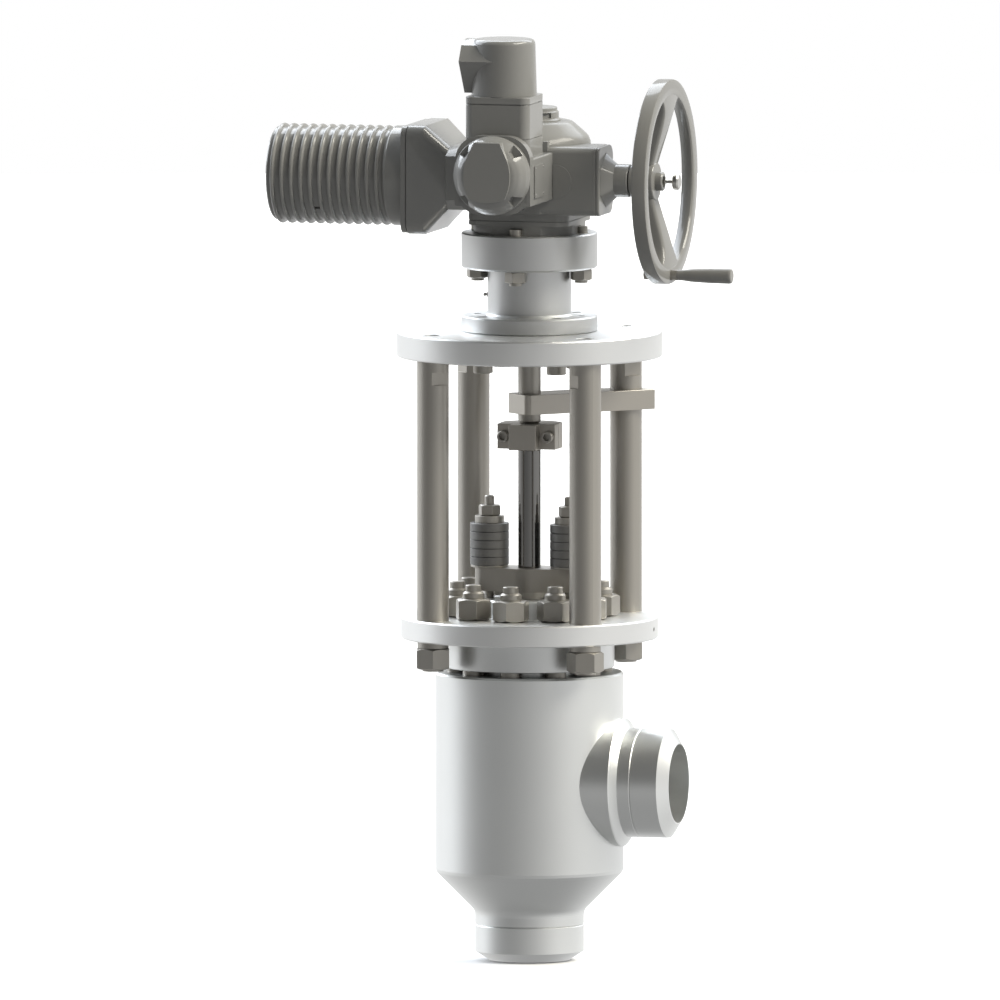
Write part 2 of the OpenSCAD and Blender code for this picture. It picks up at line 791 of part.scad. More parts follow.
// Threaded spindle that rises and falls without turning
module spindle() {
  head_z = coupling_mid + 1;
  color([0.47, 0.45, 0.41]) rotate_extrude() polygon([
    [0, head_z], [head_d / 2, head_z], [head_d / 2, head_z + head_h], [neck_d / 2, head_z + head_h],
    [neck_d / 2, coupling_top + 0.5], [stem_r - spindle_chamfer, coupling_top + 0.5],
    [stem_r, coupling_top + 0.5 + spindle_chamfer], [stem_r, spindle_top - 2],
    [stem_r - 2, spindle_top], [0, spindle_top]
  ]);
}

// Arm that grips the spindle and slides on one column
module guide_arm() {
  corner = 9;
  length = arm_back + arm_reach;
  color([0.5, 0.48, 0.43]) rotate([0, 0, arm_angle]) difference() {
    translate([0, 0, arm_z]) linear_extrude(arm_h) union() {
      translate([length / 2 - arm_back, 0]) rounded_rect(length, arm_w, corner);
      translate([arm_reach - 2 * corner, -arm_w / 2]) square([2 * corner, arm_w]);
    }
    translate([0, 0, arm_z - 1]) cylinder(r = stem_r + 0.05, h = arm_h + 2);
    translate([column_circle_r, 0, arm_z - 1])
      cylinder(r = column_r + column_slide_gap, h = arm_h + 2);
  }
}

module drive_adapter() {
  color([0.86, 0.87, 0.87]) difference() {
    rotate_extrude($fn = 128) polygon([
      [stem_r + 4, adapter_z], [adapter_r - 2, adapter_z], [adapter_r, adapter_z + 2],
      [adapter_r, tube_z - 2], [adapter_r - 2, tube_z], [adapter_neck_r + 3, tube_z],
      [adapter_neck_r, tube_z + 3], [adapter_neck_r, head_z - 2], [adapter_neck_r + 2, head_z],
      [adapter_r - 3, head_z], [adapter_r, head_z + 3], [adapter_r, drive_z - 2],
      [adapter_r - 2, drive_z], [adapter_bore_r, drive_z], [adapter_bore_r, bearing_z],
      [stem_nut_r + 3, bearing_z], [stem_nut_r + 3, nut_z], [stem_r + 4, nut_z]
    ]);
    translate([0, 0, adapter_z - 1]) around(4, adapter_bolt_r, arm_angle)
      cylinder(r = adapter_screw_r + 0.1, h = adapter_foot_h - 4);
    translate([0, 0, adapter_z]) around(4, adapter_bolt_r, arm_angle)
      cylinder(r = adapter_screw_r - 1.4, h = adapter_foot_h + 1);
    translate([0, 0, tube_z - 14]) around(4, adapter_bolt_r)
      cylinder(r = 6, h = 15);
    translate([0, 0, head_z - 1]) around(4, adapter_bolt_r)
      cylinder(r = adapter_screw_r + 0.5, h = adapter_head_h + 2);
    along_x(-adapter_neck_r - 1, 0, tube_z + 30) cylinder(r = 3.1, h = adapter_neck_r - adapter_bore_r + 2);
  }
}

module adapter_screws() {
  color([0.47, 0.45, 0.41]) translate([0, 0, upper_z]) around(4, adapter_bolt_r, arm_angle)
    rotate([180, 0, 0])
      cap_screw(adapter_screw_r, upper_plate_h + adapter_foot_h - 6,
        adapter_screw_head_r, adapter_screw_head_h, 17);
}

// Studs from the actuator foot, with a short end below each nut
module adapter_studs() {
  stud_z = head_z - adapter_nut_h - 4;
  color([0.47, 0.45, 0.41]) around(4, adapter_bolt_r) translate([0, 0, stud_z])
    cylinder(r = adapter_screw_r, h = adapter_head_h + adapter_nut_h + 4 + 10);
}

module adapter_nuts() {
  color([0.47, 0.45, 0.41]) translate([0, 0, head_z - adapter_nut_h]) around(4, adapter_bolt_r)
    hex_nut(adapter_nut_af, adapter_nut_h, adapter_screw_r + 0.05);
}

module grease_nipple() {
  length = adapter_neck_r - adapter_bore_r - 2;
  color("goldenrod") translate([-adapter_neck_r, 0, tube_z + 30]) rotate([0, -90, 0])
    rotate_extrude($fn = 32) polygon([
      [0, -length], [3, -length], [3, 0], [4, 0], [4, 2.5], [2, 3], [2, 5], [3.2, 6.2],
      [2.4, 8.4], [0, 8.4]
    ]);
}

module thrust_bearings() {
  color("silver") for (z = [bearing_z, nut_flange_z + nut_flange_h]) translate([0, 0, z + run_gap])
    tube(adapter_bore_r - 0.05, stem_nut_r + run_gap, bearing_h - 2 * run_gap);
}

// Bronze nut with a thrust flange and two drive slots in its top
module stem_nut() {
  color("darkgoldenrod") difference() {
    rotate_extrude() polygon([
      [stem_r + run_gap, nut_z + 1], [stem_nut_r, nut_z + 1], [stem_nut_r, nut_flange_z],
      [nut_flange_r, nut_flange_z], [nut_flange_r, nut_flange_z + nut_flange_h],
      [stem_nut_r, nut_flange_z + nut_flange_h], [stem_nut_r, nut_top], [stem_r + run_gap, nut_top]
    ]);
    translate([0, 0, nut_top - dog_h / 2]) cube([100, dog_w + 0.4, dog_h + eps], center = true);
  }
}

module hollow_shaft() {
  shaft_top = gear_top - 12;
  color("silver") difference() {
    union() {
      translate([0, 0, nut_top + 0.1]) cylinder(r = shaft_r, h = shaft_top - nut_top - 0.1);
      intersection() {
        translate([0, 0, nut_top - dog_h / 2 + 0.5]) cube([100, dog_w, dog_h], center = true);
        translate([0, 0, nut_top - dog_h]) cylinder(r = shaft_r, h = 2 * dog_h);
      }
    }
    translate([0, 0, nut_top - 2 * dog_h]) cylinder(r = shaft_bore_r, h = gear_top);
  }
}

// Bronze wheel, throated round the worm
module worm_wheel() {
  throat_r = worm_r + 0.4;
  wheel_r_out = worm_y - worm_r + 3;
  color("darkgoldenrod") translate([0, 0, worm_z]) difference() {
    translate([0, 0, -wheel_face / 2]) tube(wheel_r_out, shaft_r + 0.05, wheel_face);
    rotate_extrude() translate([worm_y, 0]) circle(throat_r);
  }
}

module shaft_bearings() {
  color("silver") for (z = [drive_z + 6, gear_top - shaft_bearing_drop])
    translate([0, 0, z]) tube(gear_cavity_r - 6, shaft_r + run_gap, shaft_bearing_h);
}

// Section of the neck that joins the motor flange to the gear housing, seen along the worm axis
module neck_section() {
  top_w = motor_flange_w - neck_slope_w;
  foot_w = motor_flange_w - neck_chamfer;
  polygon([
    [neck_slope_h - neck_top, -motor_flange_w], [-neck_top, -top_w], [-neck_top, top_w],
    [neck_slope_h - neck_top, motor_flange_w], [neck_foot - neck_chamfer, motor_flange_w],
    [neck_foot, foot_w], [neck_foot, -foot_w], [neck_foot - neck_chamfer, -motor_flange_w]
  ]);
}

// Gear barrel with a rounded shoulder and a 45 degree taper to the top
module gear_barrel() {
  rotate_extrude($fn = 128) polygon([
    [0, gear_z], [gear_r, gear_z], [gear_r, gear_top - gear_shoulder_h],
    [gear_r - gear_shoulder_w * 0.09, gear_top - (gear_shoulder_h + 2 * gear_taper_h) * 0.42],
    [gear_r - gear_shoulder_w * 0.44, gear_top - (gear_shoulder_h + 2 * gear_taper_h) * 0.32],
    [gear_r - gear_shoulder_w, gear_top - gear_taper_h], [gear_top_r + 4, gear_top - 4.5],
    [gear_top_r, gear_top - 1.5], [gear_top_r - 6, gear_top], [0, gear_top]
  ]);
}

// One casting: foot, stepped base, gear barrel, handwheel arm and motor neck
module gear_casting() {
  step_h = tier_h / 3;
  translate([0, 0, drive_z]) linear_extrude(foot_h + eps) intersection() {
    circle(foot_r);
    square(2 * tier_w - 1, center = true);
  }
  translate([0, 0, drive_z + foot_h]) linear_extrude(step_h + eps)
    rounded_rect(2 * tier_w, 2 * tier_w, base_corner);
  translate([0, 0, drive_z + foot_h + step_h]) linear_extrude(1.2)
    rounded_rect(2 * tier_w - 3, 2 * tier_w - 3, base_corner - 1);
  translate([0, 0, drive_z + foot_h + step_h + 1.2]) linear_extrude(2 * step_h)
    rounded_rect(2 * tier_w, 2 * tier_w, base_corner);
  gear_barrel();
  along_x(0, 0, worm_z) translate([0, -(arm_front + arm_rear) / 2, 0])
    linear_extrude(arm_x) rounded_rect(2 * arm_half_h, arm_front - arm_rear, 10);
  translate([arm_boss_x, -arm_front + 1, worm_z]) rotate([90, 0, 0]) cylinder(r = arm_boss_r, h = 2);
  along_x(neck_x, -worm_y, worm_z) linear_extrude(-switch_w - fit_gap - neck_x) neck_section();
  along_x(-switch_w - 1, -worm_y, worm_z) linear_extrude(switch_w + neck_back_x) intersection() {
    neck_section();
    translate([-far / 2, switch_y0 + worm_y]) square(far);
  }
  translate([8 - switch_w, switch_y0, side_mid - side_h / 2 + 4])
    cube([2 * switch_w - 16, arm_front, side_h + 12]);
}

module gear_housing() {
  color([0.37, 0.37, 0.36]) difference() {
    gear_casting();
    translate([0, 0, drive_z - 1]) cylinder(r = gear_cavity_r - 6 + 0.05, h = gear_top - drive_z + 2);
    translate([0, 0, worm_z - wheel_face / 2 - 4]) cylinder(r = gear_cavity_r, h = wheel_face + 8);
    translate([0, 0, gear_top - 12]) cylinder(r = plug_thread_r, h = 20);
    along_x(-far / 2, -worm_y, worm_z) cylinder(r = worm_bearing_r + 0.05, h = far);
    translate([0, 0, drive_z - 1]) around(4, adapter_bolt_r) cylinder(r = adapter_screw_r + 0.1, h = 12);
    translate([-switch_w - 0.2, switch_y0 - far, gear_z - 20]) cube([2 * switch_w + 1, far, far]);
  }
}

// Threaded plug over the end of the spindle, with four notches for a pin wrench
module top_plug() {
  notch_w = 18;
  notch_z = 5;
  color([0.42, 0.42, 0.4]) difference() {
    union() {
      translate([0, 0, gear_top - 11]) cylinder(r = plug_thread_r - 0.1, h = 12);
      translate([0, 0, gear_top]) rotate_extrude($fn = 96) polygon([
        [0, 0], [plug_cap_r + 3.7, 0], [plug_cap_r + 3.7, 1.5], [plug_cap_r, 4],
        [plug_cap_r, plug_cap_h - 7], [plug_cap_r - 2.5, plug_cap_h - 5],
        [plug_cap_r - 2.5, plug_cap_h - 1], [plug_cap_r - 3.5, plug_cap_h], [0, plug_cap_h]
      ]);
    }
    translate([0, 0, gear_top - 12]) cylinder(r = shaft_r + 4, h = plug_cap_h + 6);
    translate([0, 0, gear_top + notch_z]) around(4, plug_cap_r, 51 - 90)
      translate([-4, -notch_w / 2, 0]) cube([notch_w, notch_w, plug_cap_h - 7 - notch_z]);
  }
}

// Worm and handwheel shaft in one piece
module worm_shaft() {
  worm_x0 = worm_end - worm_l / 2;
  worm_x1 = worm_end + worm_l / 2;
  root_r = worm_r - worm_groove;
  color("silver") along_x(-worm_end, -worm_y, worm_z) rotate_extrude() polygon([
    [0, 0], [worm_journal_r - 2, 0], [worm_journal_r, 2], [worm_journal_r, worm_x0 - 8],
    [root_r, worm_x0 - 5], [root_r, worm_x0], [worm_r, worm_x0], [worm_r, worm_x1],
    [root_r, worm_x1], [root_r, worm_x1 + 5], [worm_journal_r, worm_x1 + 8],
    [worm_journal_r, worm_end + hub_x], [spigot_r, worm_end + hub_x],
    [spigot_r, worm_end + hub_x + spigot_l], [0, worm_end + hub_x + spigot_l]
  ]);
}

module worm_bearings() {
  color("silver") for (x = [17 - worm_end, arm_x - 80, arm_x - 20]) along_x(x, -worm_y, worm_z)
    tube(worm_bearing_r, worm_journal_r + run_gap, worm_bearing_w);
}

// End cover of the handwheel arm: plate, six-sided taper and a neck for the shaft
module arm_cover() {
  plate_d = arm_front - arm_rear;
  color([0.37, 0.37, 0.36]) difference() {
    union() {
      along_x(arm_x + 0.1, 0, worm_z) translate([0, -(arm_front + arm_rear) / 2, 0]) {
        linear_extrude(4) rounded_rect(2 * arm_half_h, plate_d, 12);
        linear_extrude(5.5) rounded_rect(2 * arm_half_h - 2, plate_d - 2, 11);
        translate([0, 0, 5]) linear_extrude(arm_cover_x - arm_x - 5)
          rounded_rect(2 * arm_half_h, plate_d, 12);
      }
      along_x(arm_cover_x, -worm_y, worm_z)
        cylinder(r1 = 42, r2 = arm_neck_r, h = arm_neck_x - arm_cover_x, $fn = 6);
      along_x(arm_cover_x, -worm_y, worm_z) cylinder(r = arm_neck_r, h = arm_neck_end - arm_cover_x);
    }
    along_x(arm_x - 1, -worm_y, worm_z) cylinder(r = worm_journal_r + 0.6, h = far);
  }
}

// Square flange with a joint line, tapering in a casting to the neck of the gear housing
module motor_flange() {
  x_full = motor_face_x + flange_t;
  joint_x = motor_collar + motor_joint;
  color([0.37, 0.37, 0.36]) difference() {
    union() {
      along_x(motor_face_x, -worm_y, worm_z) {
        linear_extrude(motor_collar) rounded_rect(2 * motor_flange_w - 3, 2 * motor_flange_w - 3, 18);
        linear_extrude(joint_x + 1) rounded_rect(2 * motor_flange_w - 7, 2 * motor_flange_w - 7, 17);
        translate([0, 0, joint_x]) linear_extrude(flange_t - joint_x)
          rounded_rect(2 * motor_flange_w, 2 * motor_flange_w, 20);
      }
      hull() {
        along_x(x_full - eps, -worm_y, worm_z) linear_extrude(eps)
          rounded_rect(2 * motor_flange_w, 2 * motor_flange_w, 20, $fn = 32);
        along_x(neck_x - fit_gap, -worm_y, worm_z) linear_extrude(eps) neck_section();
      }
    }
    along_x(motor_face_x - 1, -worm_y, worm_z) cylinder(r = worm_bearing_r + 4, h = far / 2);
  }
}

// Finned barrel with a smooth ring at the flange and a drain slot between two fins
module motor_housing() {
  barrel_l = motor_x0 - motor_x1 - 0.1;
  ring_l = motor_x0 - motor_ring_x - 0.1;
  color([0.37, 0.37, 0.36]) difference() {
    union() {
      along_x(motor_x1, -worm_y, worm_z) cylinder(r = motor_r, h = barrel_l, $fn = 96);
      for (i = [0:fin_n - 1]) along_x(motor_ring_x - (i + 0.5) * fin_pitch, -worm_y, worm_z)
        rotate_extrude($fn = 96) polygon([
          [motor_r - 1, -3.4], [fin_r - 1.8, -2.7], [fin_r - 0.5, -1.6], [fin_r, 0],
          [fin_r - 0.5, 1.6], [fin_r - 1.8, 2.7], [motor_r - 1, 3.4]
        ]);
      along_x(motor_ring_x, -worm_y, worm_z) rotate_extrude($fn = 96) polygon([
        [0, 0], [motor_r, 0], [fin_r - 0.5, 5], [fin_r, 6.5], [fin_r, ring_l], [0, ring_l]
      ]);
    }
    along_x(motor_x1 - 1, -worm_y, worm_z) cylinder(r = motor_bore_r, h = far);
    translate([motor_ring_x - 7 * fin_pitch, -worm_y, worm_z]) rotate([-48, 0, 0])
      translate([0, 0, -motor_r]) cube([9, 5, 8], center = true);
  }
}

module motor_end_cover() {
  rim_h = 12 - 0.1;
  color([0.37, 0.37, 0.36]) along_x(motor_cap_x, -worm_y, worm_z) difference() {
    rotate_extrude($fn = 96) polygon([
      [0, 0], [end_boss_r, 0], [end_boss_r + 4, 4], [motor_r - 3, 6], [motor_r, 9], [motor_r, rim_h],
      [motor_bore_r - 0.2, rim_h], [motor_bore_r - 0.2, rim_h + 4], [0, rim_h + 4]
    ]);
    translate([0, 0, 8]) cylinder(r = rotor_shaft_r + 6, h = 10);
  }
}

module motor_stator() {
  color("peru") along_x(motor_x1 + 30, -worm_y, worm_z)
    tube(stator_r, rotor_r + air_gap, motor_ring_x - motor_x1 - 38);
}

module motor_rotor() {
  stack_x = motor_x1 + 32;
  color("silver") {
    along_x(stack_x, -worm_y, worm_z) cylinder(r = rotor_r, h = motor_ring_x - motor_x1 - 42);
    along_x(motor_cap_x + 9, -worm_y, worm_z)
      cylinder(r = rotor_shaft_r, h = rotor_end_x - motor_cap_x - 9);
  }
}

module motor_bearings() {
  color("silver") {
    along_x(motor_cap_x + 8.5, -worm_y, worm_z)
      tube(rotor_shaft_r + 5.9, rotor_shaft_r + run_gap, 10);
    along_x(motor_x0 + 2, -worm_y, worm_z)
      tube(worm_bearing_r + 3.9, rotor_shaft_r + run_gap, 12);
  }
}

// Dished spoke that widens towards the rim, with a trough along its outer face
module spoke() {
  rim_x = wheel_x - rim_w;
  difference() {
    hull() {
      translate([hub_front - spoke_t - 2, hub_r - 5, -spoke_w / 2]) cube([spoke_t, 1, spoke_w]);
      translate([rim_x + 2, rim_r + 3, -spoke_end_w / 2]) cube([rim_w - 6, 1, spoke_end_w]);
    }
    hull() {
      translate([hub_front - 8, hub_r + 4, -spoke_w / 5]) cube([spoke_t, 1, spoke_w * 0.4]);
      translate([wheel_x - 13, rim_r - 6, -spoke_end_w / 6]) cube([spoke_t, 1, spoke_end_w / 3]);
    }
  }
}

// Dished wheel: rim with a boss for the crank pin, three spokes and a hub ring
module handwheel() {
  rim_x = wheel_x - rim_w;
  color([0.42, 0.42, 0.4]) {
    difference() {
      union() {
        along_x(0, -worm_y, worm_z) rotate_extrude($fn = 128) polygon([
          [wheel_r, rim_x + 1], [wheel_r, wheel_x - 1], [wheel_r - 1, wheel_x], [rim_r + 9, wheel_x],
          [rim_r + 4.5, wheel_x - 1.5], [rim_r + 1.3, wheel_x - 5], [rim_r, wheel_x - 10],
          [rim_r, rim_x + 5], [rim_r + 1.5, rim_x + 1.5], [rim_r + 5, rim_x], [wheel_r - 1, rim_x]
        ]);
        along_x(rim_x, -worm_y, worm_z - grip_r) cylinder(r = pin_boss_r, h = rim_w);
      }
      along_x(rim_x - 1, -worm_y, worm_z - grip_r) cylinder(r = pin_r + 0.05, h = rim_w + 2);
    }
    along_x(hub_x, -worm_y, worm_z) difference() {
      rotate_extrude() polygon([
        [0, 0], [arm_neck_r - 1, 0], [arm_neck_r, 1], [arm_neck_r, hub_l - 16],
        [hub_r, hub_l - 12], [hub_r, hub_l - 1], [hub_r - 1, hub_l], [0, hub_l]
      ]);
      translate([0, 0, -1]) cylinder(r = boss_small_r, h = hub_l + 2);
    }
    for (a = [60, 180, 300]) translate([0, -worm_y, worm_z]) rotate([a, 0, 0]) spoke();
  }
}

module handwheel_hub() {
  color([0.42, 0.42, 0.4]) along_x(hub_x, -worm_y, worm_z) difference() {
    rotate_extrude() polygon([
      [0, 0.1], [boss_small_r - 0.1, 0.1], [boss_small_r - 0.1, hub_l + boss_l - 1.5],
      [boss_small_r - 1.6, hub_l + boss_l], [0, hub_l + boss_l]
    ]);
    translate([0, 0, -1]) cylinder(r = spigot_r + 0.05, h = spigot_l + 1.5);
    translate([0, 0, hub_l + boss_l - 18 - button_travel - 2])
      cylinder(r = button_rod_r + run_gap, h = 40);
    translate([0, 0, hub_l + boss_l - 6]) cylinder(r = 9, h = 10);
  }
}

module release_button() {
  color([0.5, 0.5, 0.48]) along_x(0, -worm_y, worm_z) rotate_extrude() polygon([
    [0, boss_end_x - 18], [button_rod_r, boss_end_x - 18], [button_rod_r, button_x],
    [button_r - 1, button_x], [button_r, button_x + 2], [button_r, button_x + button_h - 2],
    [button_r - 2, button_x + button_h], [0, button_x + button_h]
  ]);
}

module crank_pin() {
  nut_x = wheel_x - rim_w - 8;
  color("dimgray") along_x(0, -worm_y, worm_z - grip_r) rotate_extrude() polygon([
    [0, nut_x], [8, nut_x], [8, nut_x + 7.9], [pin_r, nut_x + 7.9], [pin_r, wheel_x + 0.1],
    [pin_collar_r, wheel_x + 0.1], [pin_collar_r, grip_x - fit_gap], [pin_r, grip_x - fit_gap],
    [pin_r, grip_x + grip_l - 6], [0, grip_x + grip_l - 6]
  ]);
}

module crank_grip() {
  color([0.3, 0.3, 0.3]) along_x(grip_x, -worm_y, worm_z - grip_r) rotate_extrude() polygon([
    [pin_r + run_gap, 0], [8, 0], [8.5, 10], [10, 22], [11.4, grip_l * 0.6],
    [11.8, grip_l - 4], [11, grip_l - 1], [9, grip_l], [0, grip_l], [0, grip_l - 5],
    [pin_r + run_gap, grip_l - 5]
  ]);
}

// Housing with a rounded mouth, a square body and a neck for the terminal box
module switch_housing() {
  depth = switch_y0 - switch_y1 - 0.1;
  color([0.37, 0.37, 0.36]) difference() {
    union() {
      translate([0, switch_y0 - 0.1, side_mid]) rotate([90, 0, 0]) linear_extrude(depth)
        rounded_rect(2 * switch_w, side_h, 3);
      translate([0, switch_y1 + switch_ring_d, switch_mid]) rotate([90, 0, 0])
        linear_extrude(switch_ring_d) rounded_rect(2 * switch_w, 2 * cover_r, switch_corner);
      translate([0, box_y, side_mid]) linear_extrude(box_z0 - side_mid)
        rounded_rect(2 * box_w, 2 * box_d, box_corner);
      translate([-switch_w - 8, switch_y1 + switch_ring_d, worm_z - 4]) cube([10, 20, 12]);
    }
    translate([0, switch_y0 - casing_wall, side_mid]) rotate([90, 0, 0]) linear_extrude(depth)
      rounded_rect(2 * (switch_w - casing_wall), side_h - 2 * casing_wall, 3);
    translate([0, switch_y1 + switch_ring_d, switch_mid]) rotate([90, 0, 0])
      cylinder(r = cover_r - casing_wall - 5, h = switch_ring_d + 1);
    translate([0, box_y, side_mid]) cylinder(r = box_bore_r - 8, h = box_z0);
  }
}

// Counter gear block with its setting shafts and the limit switches
module switch_unit() {
  unit_w = 80;
  unit_d = 40;
  unit_h = side_h - 2 * casing_wall - 4;
  face_y = switch_y0 - casing_wall - unit_d;
  unit_z = side_mid - unit_h / 2;
  color("ivory") {
    translate([-unit_w / 2, face_y, unit_z]) cube([unit_w, unit_d, unit_h]);
    for (x = [-20, 20]) translate([x, face_y + eps, unit_z + 17]) rotate([90, 0, 0])
      cylinder(r = 7, h = 34);
    for (z = [33, 47]) translate([6 - unit_w / 2, face_y - 18, unit_z + z])
      cube([unit_w - 12, 18 + eps, 10]);
  }
}

// Barrel-shaped panel of the cover: straight shoulders above, bulging sides and a curved foot
module cover_panel() {
  side_r = 72.5;
  side_x = side_r - 37;
  shoulder_z = 30;
  polygon([[-20.5, 53], [20.5, 53], [30.9, shoulder_z - eps], [-30.9, shoulder_z - eps]]);
  intersection() {
    for_sides(side_x, side_r);
    translate([0, side_r - 39.5]) circle(side_r, $fn = 128);
    translate([-side_r, shoulder_z - side_r]) square([2 * side_r, side_r]);
  }
}

// The space that two large circles share
module for_sides(x, r) {
  intersection() {
    translate([-x, 1]) circle(r, $fn = 128);
    translate([x, 1]) circle(r, $fn = 128);
  }
}

// Round cover with a raised panel and four screw pockets
module switch_cover() {
  pocket_z = 7;
  color([0.4, 0.4, 0.39]) translate([0, switch_y1 - 0.1, switch_mid]) rotate([90, 0, 0]) difference() {
    union() {
      rotate_extrude($fn = 128) polygon([
        [0, 0], [cover_r, 0], [cover_r, 5], [cover_r - 1.5, 7.5], [cover_r - 4, 14],
        [cover_slope_r, cover_slope_d], [cover_slope_r - 8, cover_d - 2], [cover_face_r, cover_d],
        [0, cover_d]
      ]);
      linear_extrude(panel_d) cover_panel();
    }
    for (x = [-1, 1], y = [-1, 1]) translate([0, 0, pocket_z]) linear_extrude(panel_d)
      polygon([[x * 32, y * 37], [x * 35, y * 48], [x * 45, y * 47], [x * 54, y * 33], [x * 37, y * 29]]);
    translate([0, 0, -1]) cylinder(r = cover_face_r + 1, h = 15);
  }
}

module terminal_box() {
  box_h = box_top - box_z0;
  color([0.37, 0.37, 0.36]) translate([0, box_y, box_z0 + 0.1]) difference() {
    union() {
      linear_extrude(box_h - box_lid_h) rounded_rect(2 * box_w, 2 * box_d, box_corner);
      translate([0, 0, box_h - box_lid_h + 1]) linear_extrude(box_lid_h - 1.2)
        rounded_rect(2 * box_w, 2 * box_d, box_corner);
      translate([0, 0, box_h - box_lid_h - 1]) linear_extrude(3)
        rounded_rect(2 * box_w - 2, 2 * box_d - 2, box_corner - 1);
    }
    translate([0, 0, -1]) cylinder(r = box_bore_r, h = box_h + 2);
  }
}

// Plug-in terminal hood with one cable entry in a pointed horn
module terminal_cap() {
  color([0.37, 0.37, 0.36]) difference() {
    union() {
      translate([0, box_y, box_top]) rotate_extrude($fn = 128) polygon([
        [0, 0], [cap_r, 0], [cap_top_r, cap_h - 8], [cap_top_r - 0.8, cap_h - 4.5],
        [cap_top_r - 2.8, cap_h - 1.8], [cap_top_r - 6, cap_h - 0.4], [cap_top_r - 10, cap_h],
        [0, cap_h]
      ]);
      along_x(entry_x, box_y, box_top) linear_extrude(-entry_x - 1) polygon([
        [-horn_wide_z, -horn_w], [-horn_top_z, -horn_top_w], [1 - cap_h, -6], [1 - cap_h, 6],
        [-horn_top_z, horn_top_w], [-horn_wide_z, horn_w], [-3, 13], [-3, -13]
      ]);
    }
    translate([0, box_y, box_top - 1]) cylinder(r = cap_top_r - casing_wall, h = cap_h - casing_wall + 1);
    along_x(entry_x - 1, box_y, box_top + entry_z) cylinder(r = entry_thread_r, h = 1 - entry_x);
  }
}

// Bare plate with a rivet at each corner
module rating_plate() {
  color("silver") translate([switch_w, plate_y, side_mid]) rotate([0, 90, 0]) {
    linear_extrude(plate_t) rounded_rect(plate_h, plate_l, 3);
    for (x = [-1, 1], y = [-1, 1]) translate([x * (plate_h / 2 - 5), y * (plate_l / 2 - 5), plate_t])
      cylinder(r1 = 2, r2 = 1.2, h = 1);
  }
}

inlet_weld_end();
valve_body();
outlet_weld_end();
seat_ring();
cage();
plug();
plug_seal();
valve_stem();
bonnet();
bonnet_gasket();
bonnet_studs();
bonnet_nuts();
lower_yoke_plate();
yoke_columns();
column_nuts();
upper_yoke_plate();
packing_rings();
gland_follower();
gland_flange();
gland_studs();
disc_springs();
gland_washers();
gland_nuts();
coupling_front();
coupling_rear();
coupling_screws();
spindle();
guide_arm();
drive_adapter();
adapter_screws();
adapter_studs();
adapter_nuts();
grease_nipple();
thrust_bearings();
stem_nut();
hollow_shaft();
worm_wheel();
shaft_bearings();
gear_housing();
top_plug();
worm_shaft();
worm_bearings();
arm_cover();
motor_flange();
motor_housing();
motor_end_cover();
motor_stator();
motor_rotor();
motor_bearings();
handwheel();
handwheel_hub();
release_button();
crank_pin();
crank_grip();
switch_housing();
switch_unit();
switch_cover();
terminal_box();
terminal_cap();
rating_plate();
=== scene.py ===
import math
import bpy
from mathutils import Matrix, Vector
from mathutils.geometry import tessellate_polygon


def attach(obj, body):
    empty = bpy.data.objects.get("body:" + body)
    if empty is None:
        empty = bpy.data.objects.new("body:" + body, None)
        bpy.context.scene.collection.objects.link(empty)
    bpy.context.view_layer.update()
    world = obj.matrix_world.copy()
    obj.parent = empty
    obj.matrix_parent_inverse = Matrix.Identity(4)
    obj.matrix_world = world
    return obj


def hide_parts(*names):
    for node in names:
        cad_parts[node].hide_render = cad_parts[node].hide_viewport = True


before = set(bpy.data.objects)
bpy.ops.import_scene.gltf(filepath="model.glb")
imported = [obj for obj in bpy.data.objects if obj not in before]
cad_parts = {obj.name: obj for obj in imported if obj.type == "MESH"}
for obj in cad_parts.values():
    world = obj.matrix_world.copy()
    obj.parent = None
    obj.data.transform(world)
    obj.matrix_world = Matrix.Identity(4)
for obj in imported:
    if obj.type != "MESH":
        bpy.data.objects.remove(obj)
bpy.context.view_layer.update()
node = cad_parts

# The camera looks at the valve from 15 degrees right of its front and 5 degrees up, without
# perspective. The picture is 1.54 m wide, and the valve axis stands a little right of its middle.
azimuth, elevation = math.radians(15), math.radians(5)
picture_width, camera_distance = 1.54, 4
axis_right_of_middle, middle_height = 0.0454, 0.7072
right_way = Vector((math.cos(azimuth), math.sin(azimuth), 0))
front_way = Vector((math.sin(azimuth), -math.cos(azimuth), 0))
back_way = front_way * math.cos(elevation) + Vector((0, 0, math.sin(elevation)))
up_way = back_way.cross(right_way)
lens = bpy.data.cameras.new("studio_camera")
lens.type = "ORTHO"
lens.ortho_scale = picture_width
lens.clip_end = 20
camera = bpy.data.objects.new("studio_camera", lens)
camera.rotation_mode = "QUATERNION"
camera.location = up_way * middle_height - right_way * axis_right_of_middle + back_way * camera_distance
camera.rotation_quaternion = Matrix((right_way, up_way, back_way)).transposed().to_quaternion()
bpy.context.scene.collection.objects.link(camera)
bpy.context.scene.camera = camera
bpy.context.scene.view_settings.view_transform = "Standard"

# The studio is a round white hall, dimmer in front of the valve than beside and behind it. A long
# cool panel hangs behind, and a warm key panel stands high on the right. The camera sees plain white.
world = bpy.data.worlds.new("studio")
bpy.context.scene.world = world
world.use_nodes = True
w_nodes, w_links = world.node_tree.nodes, world.node_tree.links
w_nodes.clear()


def feed(links, socket, value):
    """Links a socket to another one, or gives it a plain value."""
    if isinstance(value, bpy.types.NodeSocket):
        links.new(value, socket)
    else:
        socket.default_value = value


def hall_math(operation, *values):
    made = w_nodes.new("ShaderNodeMath")
    made.operation = operation
    for socket, value in zip(made.inputs, values):
        feed(w_links, socket, value)
    return made.outputs[0]


